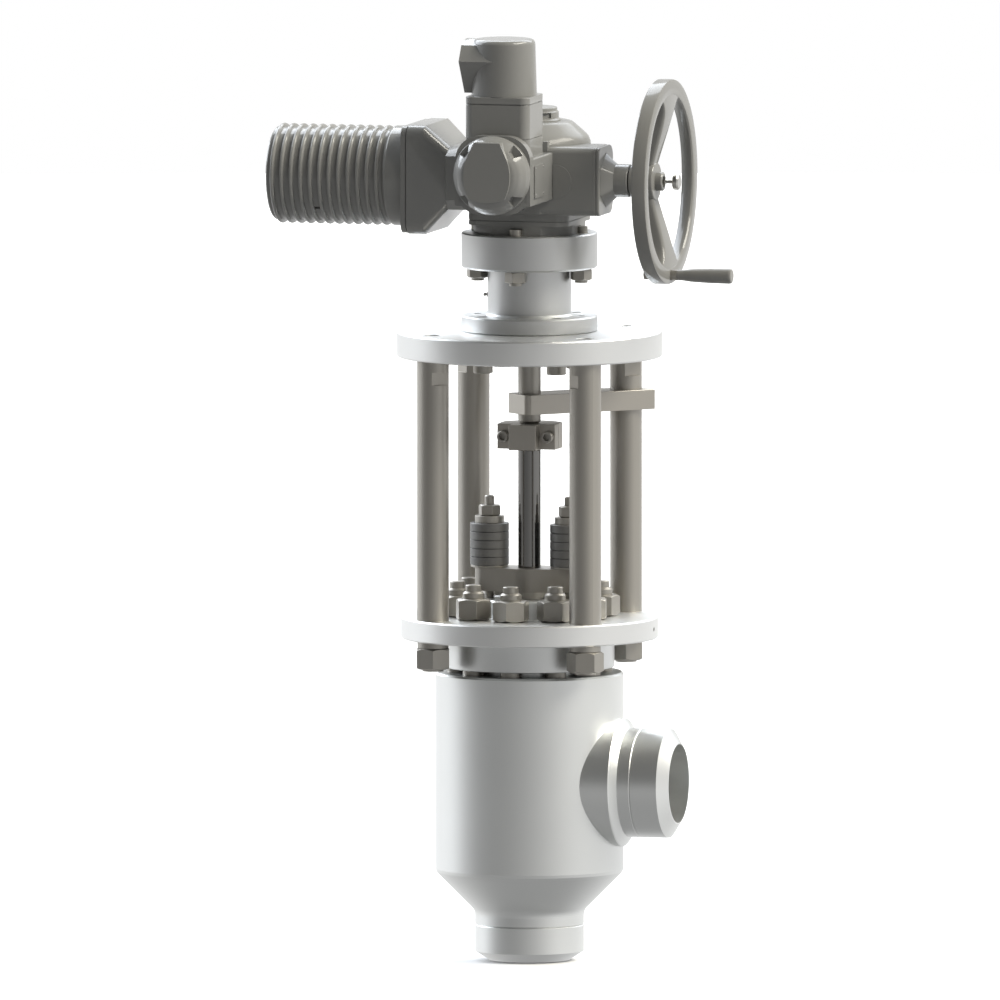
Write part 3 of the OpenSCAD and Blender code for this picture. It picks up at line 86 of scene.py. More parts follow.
def hall_ramp(value, start, end, low=0.0, high=1.0, kind="LINEAR"):
    made = w_nodes.new("ShaderNodeMapRange")
    made.interpolation_type = kind
    given = {"Value": value, "From Min": start, "From Max": end, "To Min": low, "To Max": high}
    for name in given:
        feed(w_links, made.inputs[name], given[name])
    return made.outputs[0]


def between(value, low, high, soft):
    """1 where the value lies between two edges, and 0 outside, with soft edges."""
    above = hall_ramp(hall_math("SUBTRACT", value, low), -soft, soft, kind="SMOOTHSTEP")
    below = hall_ramp(hall_math("SUBTRACT", high, value), -soft, soft, kind="SMOOTHSTEP")
    return hall_math("MULTIPLY", above, below)


way = w_nodes.new("ShaderNodeTexCoord").outputs["Generated"]
toward = []
for side in (right_way, front_way):
    dot = w_nodes.new("ShaderNodeVectorMath")
    dot.operation = "DOT_PRODUCT"
    dot.inputs[1].default_value = side
    w_links.new(way, dot.inputs[0])
    toward.append(dot.outputs["Value"])
split = w_nodes.new("ShaderNodeSeparateXYZ")
w_links.new(way, split.inputs[0])
rise = hall_math("DEGREES", hall_math("ARCSINE", split.outputs["Z"]))
turn = hall_math("DEGREES", hall_math("ARCTAN2", toward[0], toward[1]))
from_behind = hall_math("DEGREES", hall_math(
    "ARCTAN2", hall_math("MULTIPLY", toward[0], -1), hall_math("MULTIPLY", toward[1], -1)))

# The wall's light for each turn to the right of its front, in degrees
wall = w_nodes.new("ShaderNodeValToRGB")
wall_light = ((-180, 1.0), (-118, 1.0), (-98, 0.80), (-84, 0.50), (-66, 0.31), (-42, 0.28), (-20, 0.34),
              (0, 0.43), (20, 0.54), (42, 0.70), (62, 0.84), (100, 0.86), (140, 0.95), (180, 1.0))
while len(wall.color_ramp.elements) < len(wall_light):
    wall.color_ramp.elements.new(0.5)
for stop, (angle, light) in zip(wall.color_ramp.elements, wall_light):
    stop.position = angle / 360 + 0.5
    stop.color = (light, light, light, 1)
w_links.new(hall_ramp(turn, -180, 180), wall.inputs["Fac"])

# The wall grows dimmer as it rises, most of all overhead, and darkens toward the floor
above_wall = hall_math("MULTIPLY", hall_ramp(rise, 2, 15, 1, 0.83), hall_ramp(rise, 50, 75, 1, 0.45))
below_wall = hall_ramp(rise, -15, -63, 1, 0.2)
wall_dimmed_by, wall_least = 0.15, 0.08
wall_level = hall_math("MULTIPLY", hall_math("MULTIPLY", above_wall, below_wall), wall.outputs["Color"])
wall_level = hall_math("MAXIMUM", hall_math("SUBTRACT", wall_level, wall_dimmed_by), wall_least)

# Both panels' edges in degrees: the cool one is highest in its middle and hangs lower on both sides
cool_left, cool_left_bend, cool_right_bend, cool_right, side_soft, edge_soft = -55, -44, 47, 84, 3, 1.5
panel_low = hall_math("SUBTRACT", hall_ramp(from_behind, 0, cool_right_bend, 33, 7),
                      hall_ramp(from_behind, 0, cool_left_bend, 0, 15))
panel_high = hall_math("SUBTRACT", hall_ramp(from_behind, 0, cool_right, 61, 48),
                       hall_ramp(from_behind, 0, cool_left_bend, 0, 12))
cool_panel = hall_math("MULTIPLY", between(from_behind, cool_left, cool_right, side_soft),
                       between(rise, panel_low, panel_high, edge_soft))
cool_level = hall_ramp(from_behind, cool_left, 0, 2.5, 6)
warm_left, warm_right, warm_low, warm_high, warm_level = 42, 109, 32, 52, 15.0
warm_panel = hall_math("MULTIPLY", between(turn, warm_left, warm_right, edge_soft),
                       between(rise, warm_low, warm_high, edge_soft))


def lit_panel(below, mask, level, tint):
    """Puts a lit panel of one tint over the light that is already there."""
    bright = w_nodes.new("ShaderNodeVectorMath")
    bright.operation = "SCALE"
    bright.inputs[0].default_value = tint
    feed(w_links, bright.inputs["Scale"], level)
    laid = w_nodes.new("ShaderNodeMix")
    laid.data_type = "RGBA"
    laid.clamp_result = False
    w_links.new(mask, laid.inputs["Factor"])
    w_links.new(below, laid.inputs["A"])
    w_links.new(bright.outputs["Vector"], laid.inputs["B"])
    return laid.outputs["Result"]


cool_tint, warm_tint = (0.94, 0.99, 1.06), (1.04, 1.0, 0.9)
hall = lit_panel(wall_level, cool_panel, cool_level, cool_tint)
hall = lit_panel(hall, warm_panel, warm_level, warm_tint)
studio_light = w_nodes.new("ShaderNodeBackground")
w_links.new(hall, studio_light.inputs["Color"])
white_wall = w_nodes.new("ShaderNodeBackground")
white_wall.inputs["Color"].default_value = (1, 1, 1, 1)
seen = w_nodes.new("ShaderNodeLightPath")
seen_or_lit = w_nodes.new("ShaderNodeMixShader")
world_out = w_nodes.new("ShaderNodeOutputWorld")
w_links.new(seen.outputs["Is Camera Ray"], seen_or_lit.inputs["Fac"])
w_links.new(studio_light.outputs[0], seen_or_lit.inputs[1])
w_links.new(white_wall.outputs[0], seen_or_lit.inputs[2])
w_links.new(seen_or_lit.outputs[0], world_out.inputs["Surface"])
world.cycles.sampling_method = "MANUAL"
world.cycles.sample_map_resolution = 1024

# The floor is a round sheet of pale paper. The camera sees it as white, with the valve's shadow, and
# metal sees through it to the hall, with a faint light of the floor's own up to its edge.
floor_r, floor_z = 13.9, -0.001
bpy.ops.mesh.primitive_circle_add(vertices=192, radius=floor_r, fill_type="NGON", location=(0, 0, floor_z))
floor = bpy.context.object
floor.name = "floor"
paper = bpy.data.materials.new("floor_paper")
paper.use_nodes = True
p_nodes, p_links = paper.node_tree.nodes, paper.node_tree.links
p_nodes.clear()
matt = p_nodes.new("ShaderNodeBsdfDiffuse")
matt.inputs["Color"].default_value = (0.8, 0.8, 0.8, 1)
clear = p_nodes.new("ShaderNodeBsdfTransparent")
faint = p_nodes.new("ShaderNodeEmission")
faint.inputs["Strength"].default_value = 0.3
clear_and_faint = p_nodes.new("ShaderNodeAddShader")
p_seen = p_nodes.new("ShaderNodeLightPath")
by_camera = p_nodes.new("ShaderNodeMixShader")
p_out = p_nodes.new("ShaderNodeOutputMaterial")
p_links.new(clear.outputs[0], clear_and_faint.inputs[0])
p_links.new(faint.outputs[0], clear_and_faint.inputs[1])
p_links.new(p_seen.outputs["Is Camera Ray"], by_camera.inputs["Fac"])
p_links.new(clear_and_faint.outputs[0], by_camera.inputs[1])
p_links.new(matt.outputs[0], by_camera.inputs[2])
p_links.new(by_camera.outputs[0], p_out.inputs["Surface"])
floor.data.materials.append(paper)


# The valve body is a forged angle body with a bored barrel, painted in satin silver grey. The two
# pipe stubs are bevelled for welding, are welded on, and carry the same paint.
def group_with(name, takes, gives):
    made = bpy.data.node_groups.new(name, "ShaderNodeTree")
    for socket, value in takes:
        made.interface.new_socket(socket, in_out="INPUT", socket_type="NodeSocketFloat").default_value = value
    for socket in gives:
        made.interface.new_socket(socket, in_out="OUTPUT", socket_type="NodeSocketFloat")
    return made, made.nodes.new("NodeGroupInput"), made.nodes.new("NodeGroupOutput")


def group_math(group, operation, *values):
    made = group.nodes.new("ShaderNodeMath")
    made.operation = operation
    for socket, value in zip(made.inputs, values):
        feed(group.links, socket, value)
    return made.outputs[0]


def group_noise(group, size, detail, spot):
    """Noise with spots of a given size in metres."""
    made = group.nodes.new("ShaderNodeTexNoise")
    made.inputs["Detail"].default_value = detail
    feed(group.links, made.inputs["Scale"], group_math(group, "DIVIDE", 1.0, size))
    feed(group.links, made.inputs["Vector"], spot)
    return made.outputs["Fac"]


def make_skin():
    """A surface's fine grain, and wide soft patches: a height, a roughness and a patch mask."""
    made, takes, gives = group_with(
        "skin", [("Grain Size", 0.002), ("Patch Size", 0.12), ("Roughness", 0.35), ("Spread", 0.06)],
        ["Height", "Roughness", "Patch"])
    spot = made.nodes.new("ShaderNodeTexCoord").outputs["Object"]
    grain = group_noise(made, takes.outputs["Grain Size"], 3, spot)
    patch = group_noise(made, takes.outputs["Patch Size"], 3, spot)
    uneven = group_math(made, "SUBTRACT", group_math(made, "ADD", grain, patch), 1)
    rough = group_math(made, "MULTIPLY_ADD", uneven, takes.outputs["Spread"], takes.outputs["Roughness"])
    for name, value in (("Height", grain), ("Roughness", rough), ("Patch", patch)):
        made.links.new(value, gives.inputs[name])
    return made


def make_edge_rub():
    """1 along the outer edges of a piece, broken up as handling leaves them, and 0 elsewhere."""
    made, takes, gives = group_with(
        "edge_rub", [("Width", 0.0015), ("Amount", 1), ("Break Size", 0.02)], ["Mask"])
    rounded = made.nodes.new("ShaderNodeBevel")
    rounded.samples = 3
    made.links.new(takes.outputs["Width"], rounded.inputs["Radius"])
    same = made.nodes.new("ShaderNodeVectorMath")
    same.operation = "DOT_PRODUCT"
    made.links.new(rounded.outputs["Normal"], same.inputs[0])
    made.links.new(made.nodes.new("ShaderNodeNewGeometry").outputs["Normal"], same.inputs[1])
    edge = made.nodes.new("ShaderNodeMapRange")
    edge.inputs["From Min"].default_value, edge.inputs["From Max"].default_value = 0.99, 0.85
    made.links.new(same.outputs["Value"], edge.inputs["Value"])
    spot = made.nodes.new("ShaderNodeTexCoord").outputs["Object"]
    breaks = group_noise(made, takes.outputs["Break Size"], 4, spot)
    worn = made.nodes.new("ShaderNodeMapRange")
    worn.inputs["From Min"].default_value, worn.inputs["From Max"].default_value = 0.35, 0.7
    made.links.new(breaks, worn.inputs["Value"])
    mask = group_math(made, "MULTIPLY", edge.outputs[0], worn.outputs[0])
    made.links.new(group_math(made, "MULTIPLY", mask, takes.outputs["Amount"]), gives.inputs["Mask"])
    return made


def make_tool_lines():
    """Fine lines of a turning or grinding tool, close together along one way and long across it."""
    made, takes, gives = group_with(
        "tool_lines", [("Along X", 1), ("Along Y", 1), ("Along Z", 1), ("Spacing", 0.001)], ["Height"])
    spot = made.nodes.new("ShaderNodeTexCoord").outputs["Object"]
    stretch = made.nodes.new("ShaderNodeCombineXYZ")
    for axis in "XYZ":
        made.links.new(takes.outputs["Along " + axis], stretch.inputs[axis])
    pulled = made.nodes.new("ShaderNodeVectorMath")
    pulled.operation = "MULTIPLY"
    made.links.new(spot, pulled.inputs[0])
    made.links.new(stretch.outputs[0], pulled.inputs[1])
    made.links.new(group_noise(made, takes.outputs["Spacing"], 2, pulled.outputs[0]), gives.inputs["Height"])
    return made


skin, edge_rub, tool_lines = make_skin(), make_edge_rub(), make_tool_lines()


def placed(nodes, group, **values):
    made = nodes.new("ShaderNodeGroup")
    made.node_tree = group
    for name, value in values.items():
        made.inputs[name.replace("_", " ").title()].default_value = value
    return made


def finish(name, colour, rubbed, metallic, roughness, spread=0.05, grain=0.0015, relief=0.00003, tint=0.03,
           rub=0.3, lines=None, line_relief=0.00001, coat=0.0, coat_roughness=0.05, patch=0.12, gloss=0.5):
    """A surface with grain, patches of tint, rubbed edges and, where it is turned, tool lines."""
    made = bpy.data.materials.new(name)
    made.use_nodes = True
    nodes, links = made.node_tree.nodes, made.node_tree.links
    shader = nodes["Principled BSDF"]
    shader.inputs["Metallic"].default_value = metallic
    shader.inputs["Coat Weight"].default_value = coat
    shader.inputs["Coat Roughness"].default_value = coat_roughness
    shader.inputs["Specular IOR Level"].default_value = gloss
    surface = placed(nodes, skin, grain_size=grain, patch_size=patch, roughness=roughness, spread=spread)
    edges = placed(nodes, edge_rub, amount=rub)
    tinted = nodes.new("ShaderNodeMix")
    tinted.data_type = "RGBA"
    tinted.inputs["A"].default_value = (*[c * (1 - tint) for c in colour], 1)
    tinted.inputs["B"].default_value = (*[c * (1 + tint) for c in colour], 1)
    worn = nodes.new("ShaderNodeMix")
    worn.data_type = "RGBA"
    worn.inputs["B"].default_value = (*rubbed, 1)
    bump = nodes.new("ShaderNodeBump")
    bump.inputs["Distance"].default_value = relief
    links.new(surface.outputs["Patch"], tinted.inputs["Factor"])
    links.new(tinted.outputs["Result"], worn.inputs["A"])
    links.new(edges.outputs["Mask"], worn.inputs["Factor"])
    links.new(worn.outputs["Result"], shader.inputs["Base Color"])
    links.new(surface.outputs["Roughness"], shader.inputs["Roughness"])
    links.new(surface.outputs["Height"], bump.inputs["Height"])
    if lines:
        turned = placed(nodes, tool_lines, along_x=lines[0], along_y=lines[1], along_z=lines[2])
        ridges = nodes.new("ShaderNodeBump")
        ridges.inputs["Distance"].default_value = line_relief
        links.new(turned.outputs["Height"], ridges.inputs["Height"])
        links.new(bump.outputs["Normal"], ridges.inputs["Normal"])
        bump = ridges
    links.new(bump.outputs["Normal"], shader.inputs["Normal"])
    return made


def dress(surface, *names):
    for name in names:
        mesh = node[name].data
        mesh.materials.clear()
        mesh.materials.append(surface)


def round_edges(width, *names):
    """Breaks sharp edges with a small round, as casting and machining leave them."""
    for piece in names:
        piece = node.get(piece, piece)
        weld = piece.modifiers.new("join", "WELD")
        weld.merge_threshold = 0.00001
        edge = piece.modifiers.new("round", "BEVEL")
        edge.width = width
        edge.segments = 2
        edge.limit_method = "ANGLE"
        edge.angle_limit = math.radians(32)
        shading = piece.modifiers.new("shade", "WEIGHTED_NORMAL")
        shading.keep_sharp = False
        shading.weight = 80


silver_paint = finish("silver_paint", (0.70, 0.71, 0.70), (0.9, 0.9, 0.88), 0.9, 0.36, grain=0.0016,
                      relief=0.00004, tint=0.02)
dress(silver_paint, "inlet_weld_end", "valve_body", "outlet_weld_end")

# The trim inside the body is stainless steel, turned and ground: seat ring, cage and guided plug. The
# plug's seal ring is filled plastic, and the bonnet's gasket is graphite in a steel winding.
trim_steel = finish("trim_steel", (0.62, 0.61, 0.59), (0.75, 0.74, 0.72), 1.0, 0.24, relief=0.00001,
                    rub=0.2, lines=(0.02, 0.02, 1))
dress(trim_steel, "seat_ring", "cage", "plug")
seal_black = finish("seal_black", (0.035, 0.035, 0.036), (0.08, 0.08, 0.08), 0.0, 0.5, relief=0.00004,
                    rub=0.1)
dress(seal_black, "plug_seal", "bonnet_gasket", "packing_rings")

# The bonnet is a forging that closes the barrel. It carries the same paint as the body, with a dark
# gap where it stands on its gasket.
dress(silver_paint, "bonnet")

# The bonnet's ten studs and nuts are plain alloy steel, blackened a little and oiled. They are turned
# and their nuts are forged, so the faces are smooth and the edges catch the light.
nut_steel = finish("nut_steel", (0.345, 0.33, 0.30), (0.55, 0.53, 0.49), 0.85, 0.42, spread=0.08, grain=0.001,
                   tint=0.06, rub=0.4, lines=(0.1, 0.1, 1))
dress(nut_steel, "bonnet_studs")


def add_piece(name, parts, surface, slot_name, body, *stands_for):
    """One piece from parts, each with its points in millimetres and its faces."""
    points, faces = [], []
    for part_points, part_faces in parts:
        faces += [[corner + len(points) for corner in face] for face in part_faces]
        points += [Vector(point) / 1000 for point in part_points]
    mesh = bpy.data.meshes.new(name)
    mesh.from_pydata(points, [], faces)
    mesh.shade_smooth()
    mesh.set_sharp_from_angle(angle=math.radians(30))
    mesh.materials.append(surface)
    piece = bpy.data.objects.new(name, mesh)
    bpy.context.scene.collection.objects.link(piece)
    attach(piece, body)
    if stands_for:
        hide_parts(*stands_for)
    return piece


def joined_loops(loops, ring=True):
    """Faces between closed loops of points. A ring's last loop joins its first, else both ends close."""
    count = len(loops[0])
    faces = [list(range(count))[::-1], list(range((len(loops) - 1) * count, len(loops) * count))]
    if ring:
        faces = []
    for row in range(len(loops) if ring else len(loops) - 1):
        here, there = row * count, (row + 1) % len(loops) * count
        for i in range(count):
            after = (i + 1) % count
            faces.append([here + i, here + after, there + after, there + i])
    return [point for loop in loops for point in loop], faces


def on_circle(r, heading):
    """X and Y at a heading in degrees on a circle."""
    return r * math.cos(math.radians(heading)), r * math.sin(math.radians(heading))


def hex_nut(x, y, z, corner_heading, across, height, hole):
    """A nut whose corners are cut back by a cone at both ends. One corner points along its heading."""
    cone_r, slope = across / 2 * 0.92, math.tan(math.radians(30))
    loops = [[], [], [], [], [], []]
    for angle in range(0, 360, 6):
        side_r = across / 2 / math.cos(math.radians(angle % 60 - 30))
        drop = (side_r - cone_r) * slope
        section = ((hole, 0), (cone_r, 0), (side_r, drop),
                   (side_r, height - drop), (cone_r, height), (hole, height))
        for loop, (r, h) in zip(loops, section):
            out_x, out_y = on_circle(r, corner_heading + angle)
            loop.append((x + out_x, y + out_y, z + h))
    return joined_loops(loops)


large_nut = {"across": 50, "height": 33, "hole": 16.55}
bonnet_circle, bonnet_nut_foot, nut_edge = 111, 531, 0.0005
nuts = [hex_nut(*on_circle(bonnet_circle, heading), bonnet_nut_foot, heading, **large_nut)
        for heading in range(-90, 270, 36)]
bonnet_nuts = add_piece("bonnet_hex_nuts", nuts, nut_steel, "dark_steel", "valve", "bonnet_nuts")
round_edges(nut_edge, bonnet_nuts)

# The yoke is two thick round plates, turned from steel plate and painted like the body. The lower one
# sits on the bonnet, and the upper one carries the drive adapter.
plate_paint = finish("plate_paint", (0.73, 0.735, 0.725), (0.85, 0.85, 0.83), 0.9, 0.36, grain=0.0014,
                     relief=0.00003, tint=0.015)
dress(plate_paint, "lower_yoke_plate", "upper_yoke_plate")
round_edges(0.0012, "lower_yoke_plate", "upper_yoke_plate")

# Four ground steel columns stand between the plates. Each has two wrench flats near its top, and a
# nut with a collar under the lower plate.
column_steel = finish("column_steel", (0.37, 0.352, 0.318), (0.6, 0.57, 0.5), 0.88, 0.4, spread=0.06,
                      grain=0.0012, tint=0.04, rub=0.3, lines=(0.03, 0.03, 1), patch=0.2)
dress(column_steel, "yoke_columns")


def circle(x, y, r, steps=48):
    angles = [math.tau * i / steps for i in range(steps)]
    return [(x + r * math.cos(angle), y + r * math.sin(angle)) for angle in angles]


def turned_ring(x, y, section, steps):
    """A ring with a section of radius and height, turned round an upright axis."""
    return joined_loops([[(*spot, z) for spot in circle(x, y, r, steps)] for r, z in section])


column_circle, column_nut_foot = 171.7, 456
collar_foot, collar_r, collar_h = column_nut_foot + large_nut["height"], 24, 9
collar = [(large_nut["hole"], collar_foot), (collar_r, collar_foot), (collar_r, collar_foot + collar_h),
          (large_nut["hole"], collar_foot + collar_h)]
nuts = []
for heading in range(45, 405, 90):
    spot = on_circle(column_circle, heading)
    nuts += [hex_nut(*spot, column_nut_foot, heading, **large_nut), turned_ring(*spot, collar, 60)]
column_nuts = add_piece("column_hex_nuts", nuts, nut_steel, "dark_steel", "valve", "column_nuts")
round_edges(nut_edge, column_nuts)

# The gland is live-loaded: two studs pull the flange and the follower down on the packing through
# stacks of disc springs. Washers and nuts are plain steel, and the springs are hardened and black.
dress(nut_steel, "gland_follower", "gland_studs", "gland_washers")
spring_steel = finish("spring_steel", (0.17, 0.168, 0.162), (0.3, 0.3, 0.29), 0.6, 0.5, relief=0.00002,
                      tint=0.05)


def oval(stud_x, end_r, middle_r, steps=16):
    """An outline drawn tight round a middle circle and two end circles."""
    lean = math.asin((middle_r - end_r) / stud_x)
    outline = []
    for x, r, start, end in ((stud_x, end_r, lean - math.pi / 2, math.pi / 2 - lean),
                             (0, middle_r, math.pi / 2 - lean, math.pi / 2 + lean),
                             (-stud_x, end_r, math.pi / 2 + lean, 1.5 * math.pi - lean),
                             (0, middle_r, 1.5 * math.pi - lean, 1.5 * math.pi + lean)):
        angles = [start + (end - start) * i / steps for i in range(steps + 1)]
        outline += [(x + r * math.cos(angle), r * math.sin(angle)) for angle in angles]
    return outline


def cut_plate(low, high, *rounds):
    """A flat plate between two heights. The first outline is its edge, and the others, which run the
    other way, are its holes."""
    cut = tessellate_polygon([[Vector((*spot, 0)) for spot in shape] for shape in rounds])
    flat = [Vector(spot) for shape in rounds for spot in shape]
    up = []
    for a, b, c in cut:
        up.append([a, b, c] if (flat[b] - flat[a]).cross(flat[c] - flat[a]) > 0 else [c, b, a])
    faces = [[i + len(flat) for i in face] for face in up] + [face[::-1] for face in up]
    first = 0
    for shape in rounds:
        for i in range(len(shape)):
            here, after = first + i, first + (i + 1) % len(shape)
            faces.append([here, after, after + len(flat), here + len(flat)])
        first += len(shape)
    return [(*spot, low) for spot in flat] + [(*spot, high) for spot in flat], faces


# The gland flange's steel is a darker copy of the other plain steel. This is painted shade, for the shade the
# flange stands in.
shaded_flange_steel = finish("shaded_flange_steel", (0.285, 0.27, 0.245), (0.5, 0.47, 0.42), 0.88, 0.42, grain=0.0012,
                      tint=0.04)
gland_stud_x, stud_hole_r, stem_hole_r, bar_end_r, bar_middle_r = 63.6, 8, 18, 22.4, 42
bar_foot, bar_top, disc_foot, disc_pitch, gland_nut_foot = 570, 606, 609, 13, 685
holes = [circle(x, 0, r)[::-1] for x, r in
         ((0, stem_hole_r), (gland_stud_x, stud_hole_r), (-gland_stud_x, stud_hole_r))]
bar = cut_plate(bar_foot, bar_top, oval(gland_stud_x, bar_end_r, bar_middle_r), *holes)
gland_bar = add_piece("gland_bar", [bar], shaded_flange_steel, "dark_steel", "valve", "gland_flange")
round_edges(0.0012, gland_bar)
disc_section = [(8, 0.1), (29, 0.1), (30, 0.8), (30, 12.2), (29, 12.9), (8, 12.9)]
nuts, discs = [], []
for x in (-gland_stud_x, gland_stud_x):
    nuts.append(hex_nut(x, 0, gland_nut_foot, 0, across=30, height=17, hole=7.55))
    for foot in range(disc_foot, disc_foot + 5 * disc_pitch, disc_pitch):
        discs.append(turned_ring(x, 0, [(r, foot + h) for r, h in disc_section], 64))
gland_nuts = add_piece("gland_hex_nuts", nuts, nut_steel, "dark_steel", "valve", "gland_nuts")
add_piece("spring_discs", discs, spring_steel, "spring_steel", "valve", "disc_springs")
round_edges(nut_edge, "gland_washers", gland_nuts)

# The stem is stainless steel, ground and polished where the packing grips it. It carries the plug at
# its lower end, and its upper end is held in the split coupling.
# Its colour is much darker than the other stainless steel. This is a painted reflection of the dark parts
# round the stem.
polished_steel = finish("polished_steel", (0.175, 0.172, 0.165), (0.6, 0.6, 0.6), 1.0, 0.13, spread=0.03,
                        grain=0.001, relief=0.000004, tint=0.02, rub=0.05, lines=(0.01, 0.01, 1),
                        line_relief=0.000002)
dress(polished_steel, "valve_stem")

# The split coupling is milled from bar and held by two socket screws. It joins the stem to the
# threaded spindle, and the guide arm that keeps them from turning is cut from flat bar.
arm_steel = finish("arm_steel", (0.40, 0.378, 0.34), (0.65, 0.6, 0.53), 0.85, 0.4, grain=0.0012, tint=0.04,
                   rub=0.35, lines=(0.2, 0.2, 1))
dress(arm_steel, "coupling_front", "coupling_rear", "guide_arm")
dress(nut_steel, "spindle")
screw_x, screw_z, socket_half = 35.25, 809.5, 5.2
shank_r, shank_end, head_r, head_foot, head_face, socket_floor = 6, 19, 9, -20, -31, -22
screws = []
for x in (-screw_x, screw_x):
    loops = [[], [], [], [], [], [], []]
    for angle in range(0, 360, 10):
        hexagon = socket_half / math.cos(math.radians(angle % 60 - 30))
        for loop, (r, y) in zip(loops, (
                (shank_r, shank_end), (shank_r, head_foot), (head_r, head_foot), (head_r, head_face + 1.4),
                (head_r - 0.8, head_face), (hexagon, head_face), (hexagon, socket_floor))):
            across, up = on_circle(r, angle)
            loop.append((x + across, y, screw_z + up))
    screws.append(joined_loops(loops, ring=False))
add_piece("coupling_cap_screws", screws, nut_steel, "dark_steel", "stem_line", "coupling_screws")
round_edges(0.0008, "coupling_front", "coupling_rear", "guide_arm")

# The drive adapter is a turned casting with two flanges, painted like the body. Socket screws hold it
# to the plate from below, studs and nuts hold the actuator, and a grease nipple feeds its bearings.
adapter_paint = finish("adapter_paint", (0.56, 0.565, 0.56), (0.8, 0.8, 0.78), 0.9, 0.38, grain=0.0014,
                       relief=0.00005, tint=0.02)
dress(adapter_paint, "drive_adapter")
dress(nut_steel, "adapter_screws", "adapter_studs", "grease_nipple")
round_edges(0.001, "drive_adapter")
adapter_circle, adapter_nut_foot = 82.5, 1052
small_nut = {"across": 30, "height": 18, "hole": 10.05}
nuts = [hex_nut(*on_circle(adapter_circle, heading), adapter_nut_foot, heading, **small_nut)
        for heading in range(0, 360, 90)]
adapter_nuts = add_piece("adapter_hex_nuts", nuts, nut_steel, "dark_steel", "valve", "adapter_nuts")
round_edges(nut_edge, adapter_nuts)

# Inside the adapter a bronze nut drives the threaded spindle, between two thrust bearings. The worm
# wheel above it is bronze too, on a hollow steel shaft with its own bearings.
bronze = finish("bronze", (0.62, 0.42, 0.19), (0.8, 0.6, 0.33), 1.0, 0.3, tint=0.06, rub=0.3,
                lines=(0.02, 0.02, 1))
dress(bronze, "stem_nut", "worm_wheel")
bearing_steel = finish("bearing_steel", (0.68, 0.68, 0.67), (0.8, 0.8, 0.79), 1.0, 0.18, relief=0.00001,
                       rub=0.1, lines=(0.02, 0.02, 1))
dress(bearing_steel, "thrust_bearings", "shaft_bearings", "worm_bearings", "motor_bearings")
dress(trim_steel, "hollow_shaft", "worm_shaft")

# The actuator's gear housing is cast aluminium with a grey powder coat, which has a hard gloss. The
# top plug, the arm's end cover and the motor flange are castings with the same coat.
coat_skin = {"spread": 0.04, "grain": 0.003, "relief": 0.00003, "tint": 0.03, "rub": 0.25}
powder_coat = finish("powder_coat", (0.212, 0.211, 0.201), (0.26, 0.26, 0.25), 0.0, 0.32, coat=0.6,
                     coat_roughness=0.07, gloss=0.1, **coat_skin)
cast_coat = finish("cast_coat", (0.218, 0.217, 0.207), (0.26, 0.26, 0.25), 0.0, 0.4, coat=0.3,
                   coat_roughness=0.14, gloss=0.1, **coat_skin)
dress(cast_coat, "gear_housing", "top_plug")
dress(powder_coat, "motor_flange")
round_edges(0.0014, "gear_housing", "motor_flange")
round_edges(0.001, "top_plug")

# The cover at the end of the housing's arm is a casting with the same coat: a plate with a seam round
# its edge, and a six-sided taper that runs into a round neck. The handwheel shaft turns in it, on the
# same line as the motor.
shaft_y, shaft_z = -44, 1211


def cover_loop(x, half_y, half_z, front_r, rear_r):
    """A rectangle with round corners, across the shaft line."""
    loop = []
    for side_y, side_z, r, start in ((1, 1, rear_r, 0), (-1, 1, front_r, 90), (-1, -1, front_r, 180),
                                     (1, -1, rear_r, 270)):
        for i in range(12):
            out_y, out_z = on_circle(r, start + 90 * i / 11)
            loop.append((x, shaft_y + side_y * (half_y - r) + out_y, shaft_z + side_z * (half_z - r) + out_z))
    return loop


def hole_edge(r, loop):
    """A round hole's edge on the shaft line, with one point for each point of the loop round it."""
    edge = []
    for x, y, z in loop:
        angle = math.atan2(z - shaft_z, y - shaft_y)
        edge.append((x, shaft_y + r * math.cos(angle), shaft_z + r * math.sin(angle)))
    return edge


plate_half_y, plate_half_z, front_corner_r, rear_corner_r, shaft_hole_r = 43, 53, 9, 17, 12.6
plate_section = ((124.1, 0), (128, 0), (128.4, 1.2), (129.6, 1.2), (130, 0), (132.2, 0), (133.4, 0.7),
                 (134, 2))
plate = [cover_loop(x, plate_half_y - inset, plate_half_z - inset, front_corner_r, rear_corner_r)
         for x, inset in plate_section]
plate = [hole_edge(shaft_hole_r, plate[0]), *plate, hole_edge(shaft_hole_r, plate[-1])]
taper_r, taper_foot, taper_end = 42, 133, 151.5
neck_r, neck_end, recess_r, recess_foot = 25.4, 173.2, 16, 169.5
corners = [on_circle(taper_r, 90 + 60 * i) for i in range(7)]
base, neck = [], []
for i in range(6):
    for share in (step / 10 for step in range(10)):
        base.append([a + (b - a) * share for a, b in zip(corners[i], corners[i + 1])])
        neck.append(on_circle(1, 90 + 60 * (i + share)))
taper = [[(x, shaft_y + r * y, shaft_z + r * z) for y, z in shape] for x, r, shape in (
    (taper_foot, shaft_hole_r, neck), (taper_foot, 1, base), (taper_foot + 1.5, 1, base),
    (taper_end, neck_r, neck), (neck_end - 1, neck_r, neck), (neck_end, neck_r - 1, neck),
    (neck_end, recess_r, neck), (recess_foot, recess_r, neck), (recess_foot, shaft_hole_r, neck))]
arm_end = add_piece("arm_end_cover", [joined_loops(plate), joined_loops(taper)], powder_coat,
                    "actuator_paint", "valve", "arm_cover")
round_edges(0.0007, arm_end)

# The motor housing is a finned aluminium casting with the same coat, closed by a pressed cover. The
# stator is a stack of varnished sheets, and the rotor is cast aluminium on a steel shaft.
dress(powder_coat, "motor_housing")


def turned_on_shaft(section, steps, ring=True):
    """A section of radius and X, turned round the shaft line."""
    loops = [[(x, *spot) for spot in circle(shaft_y, shaft_z, r, steps)] for r, x in section]
    return joined_loops(loops, ring)


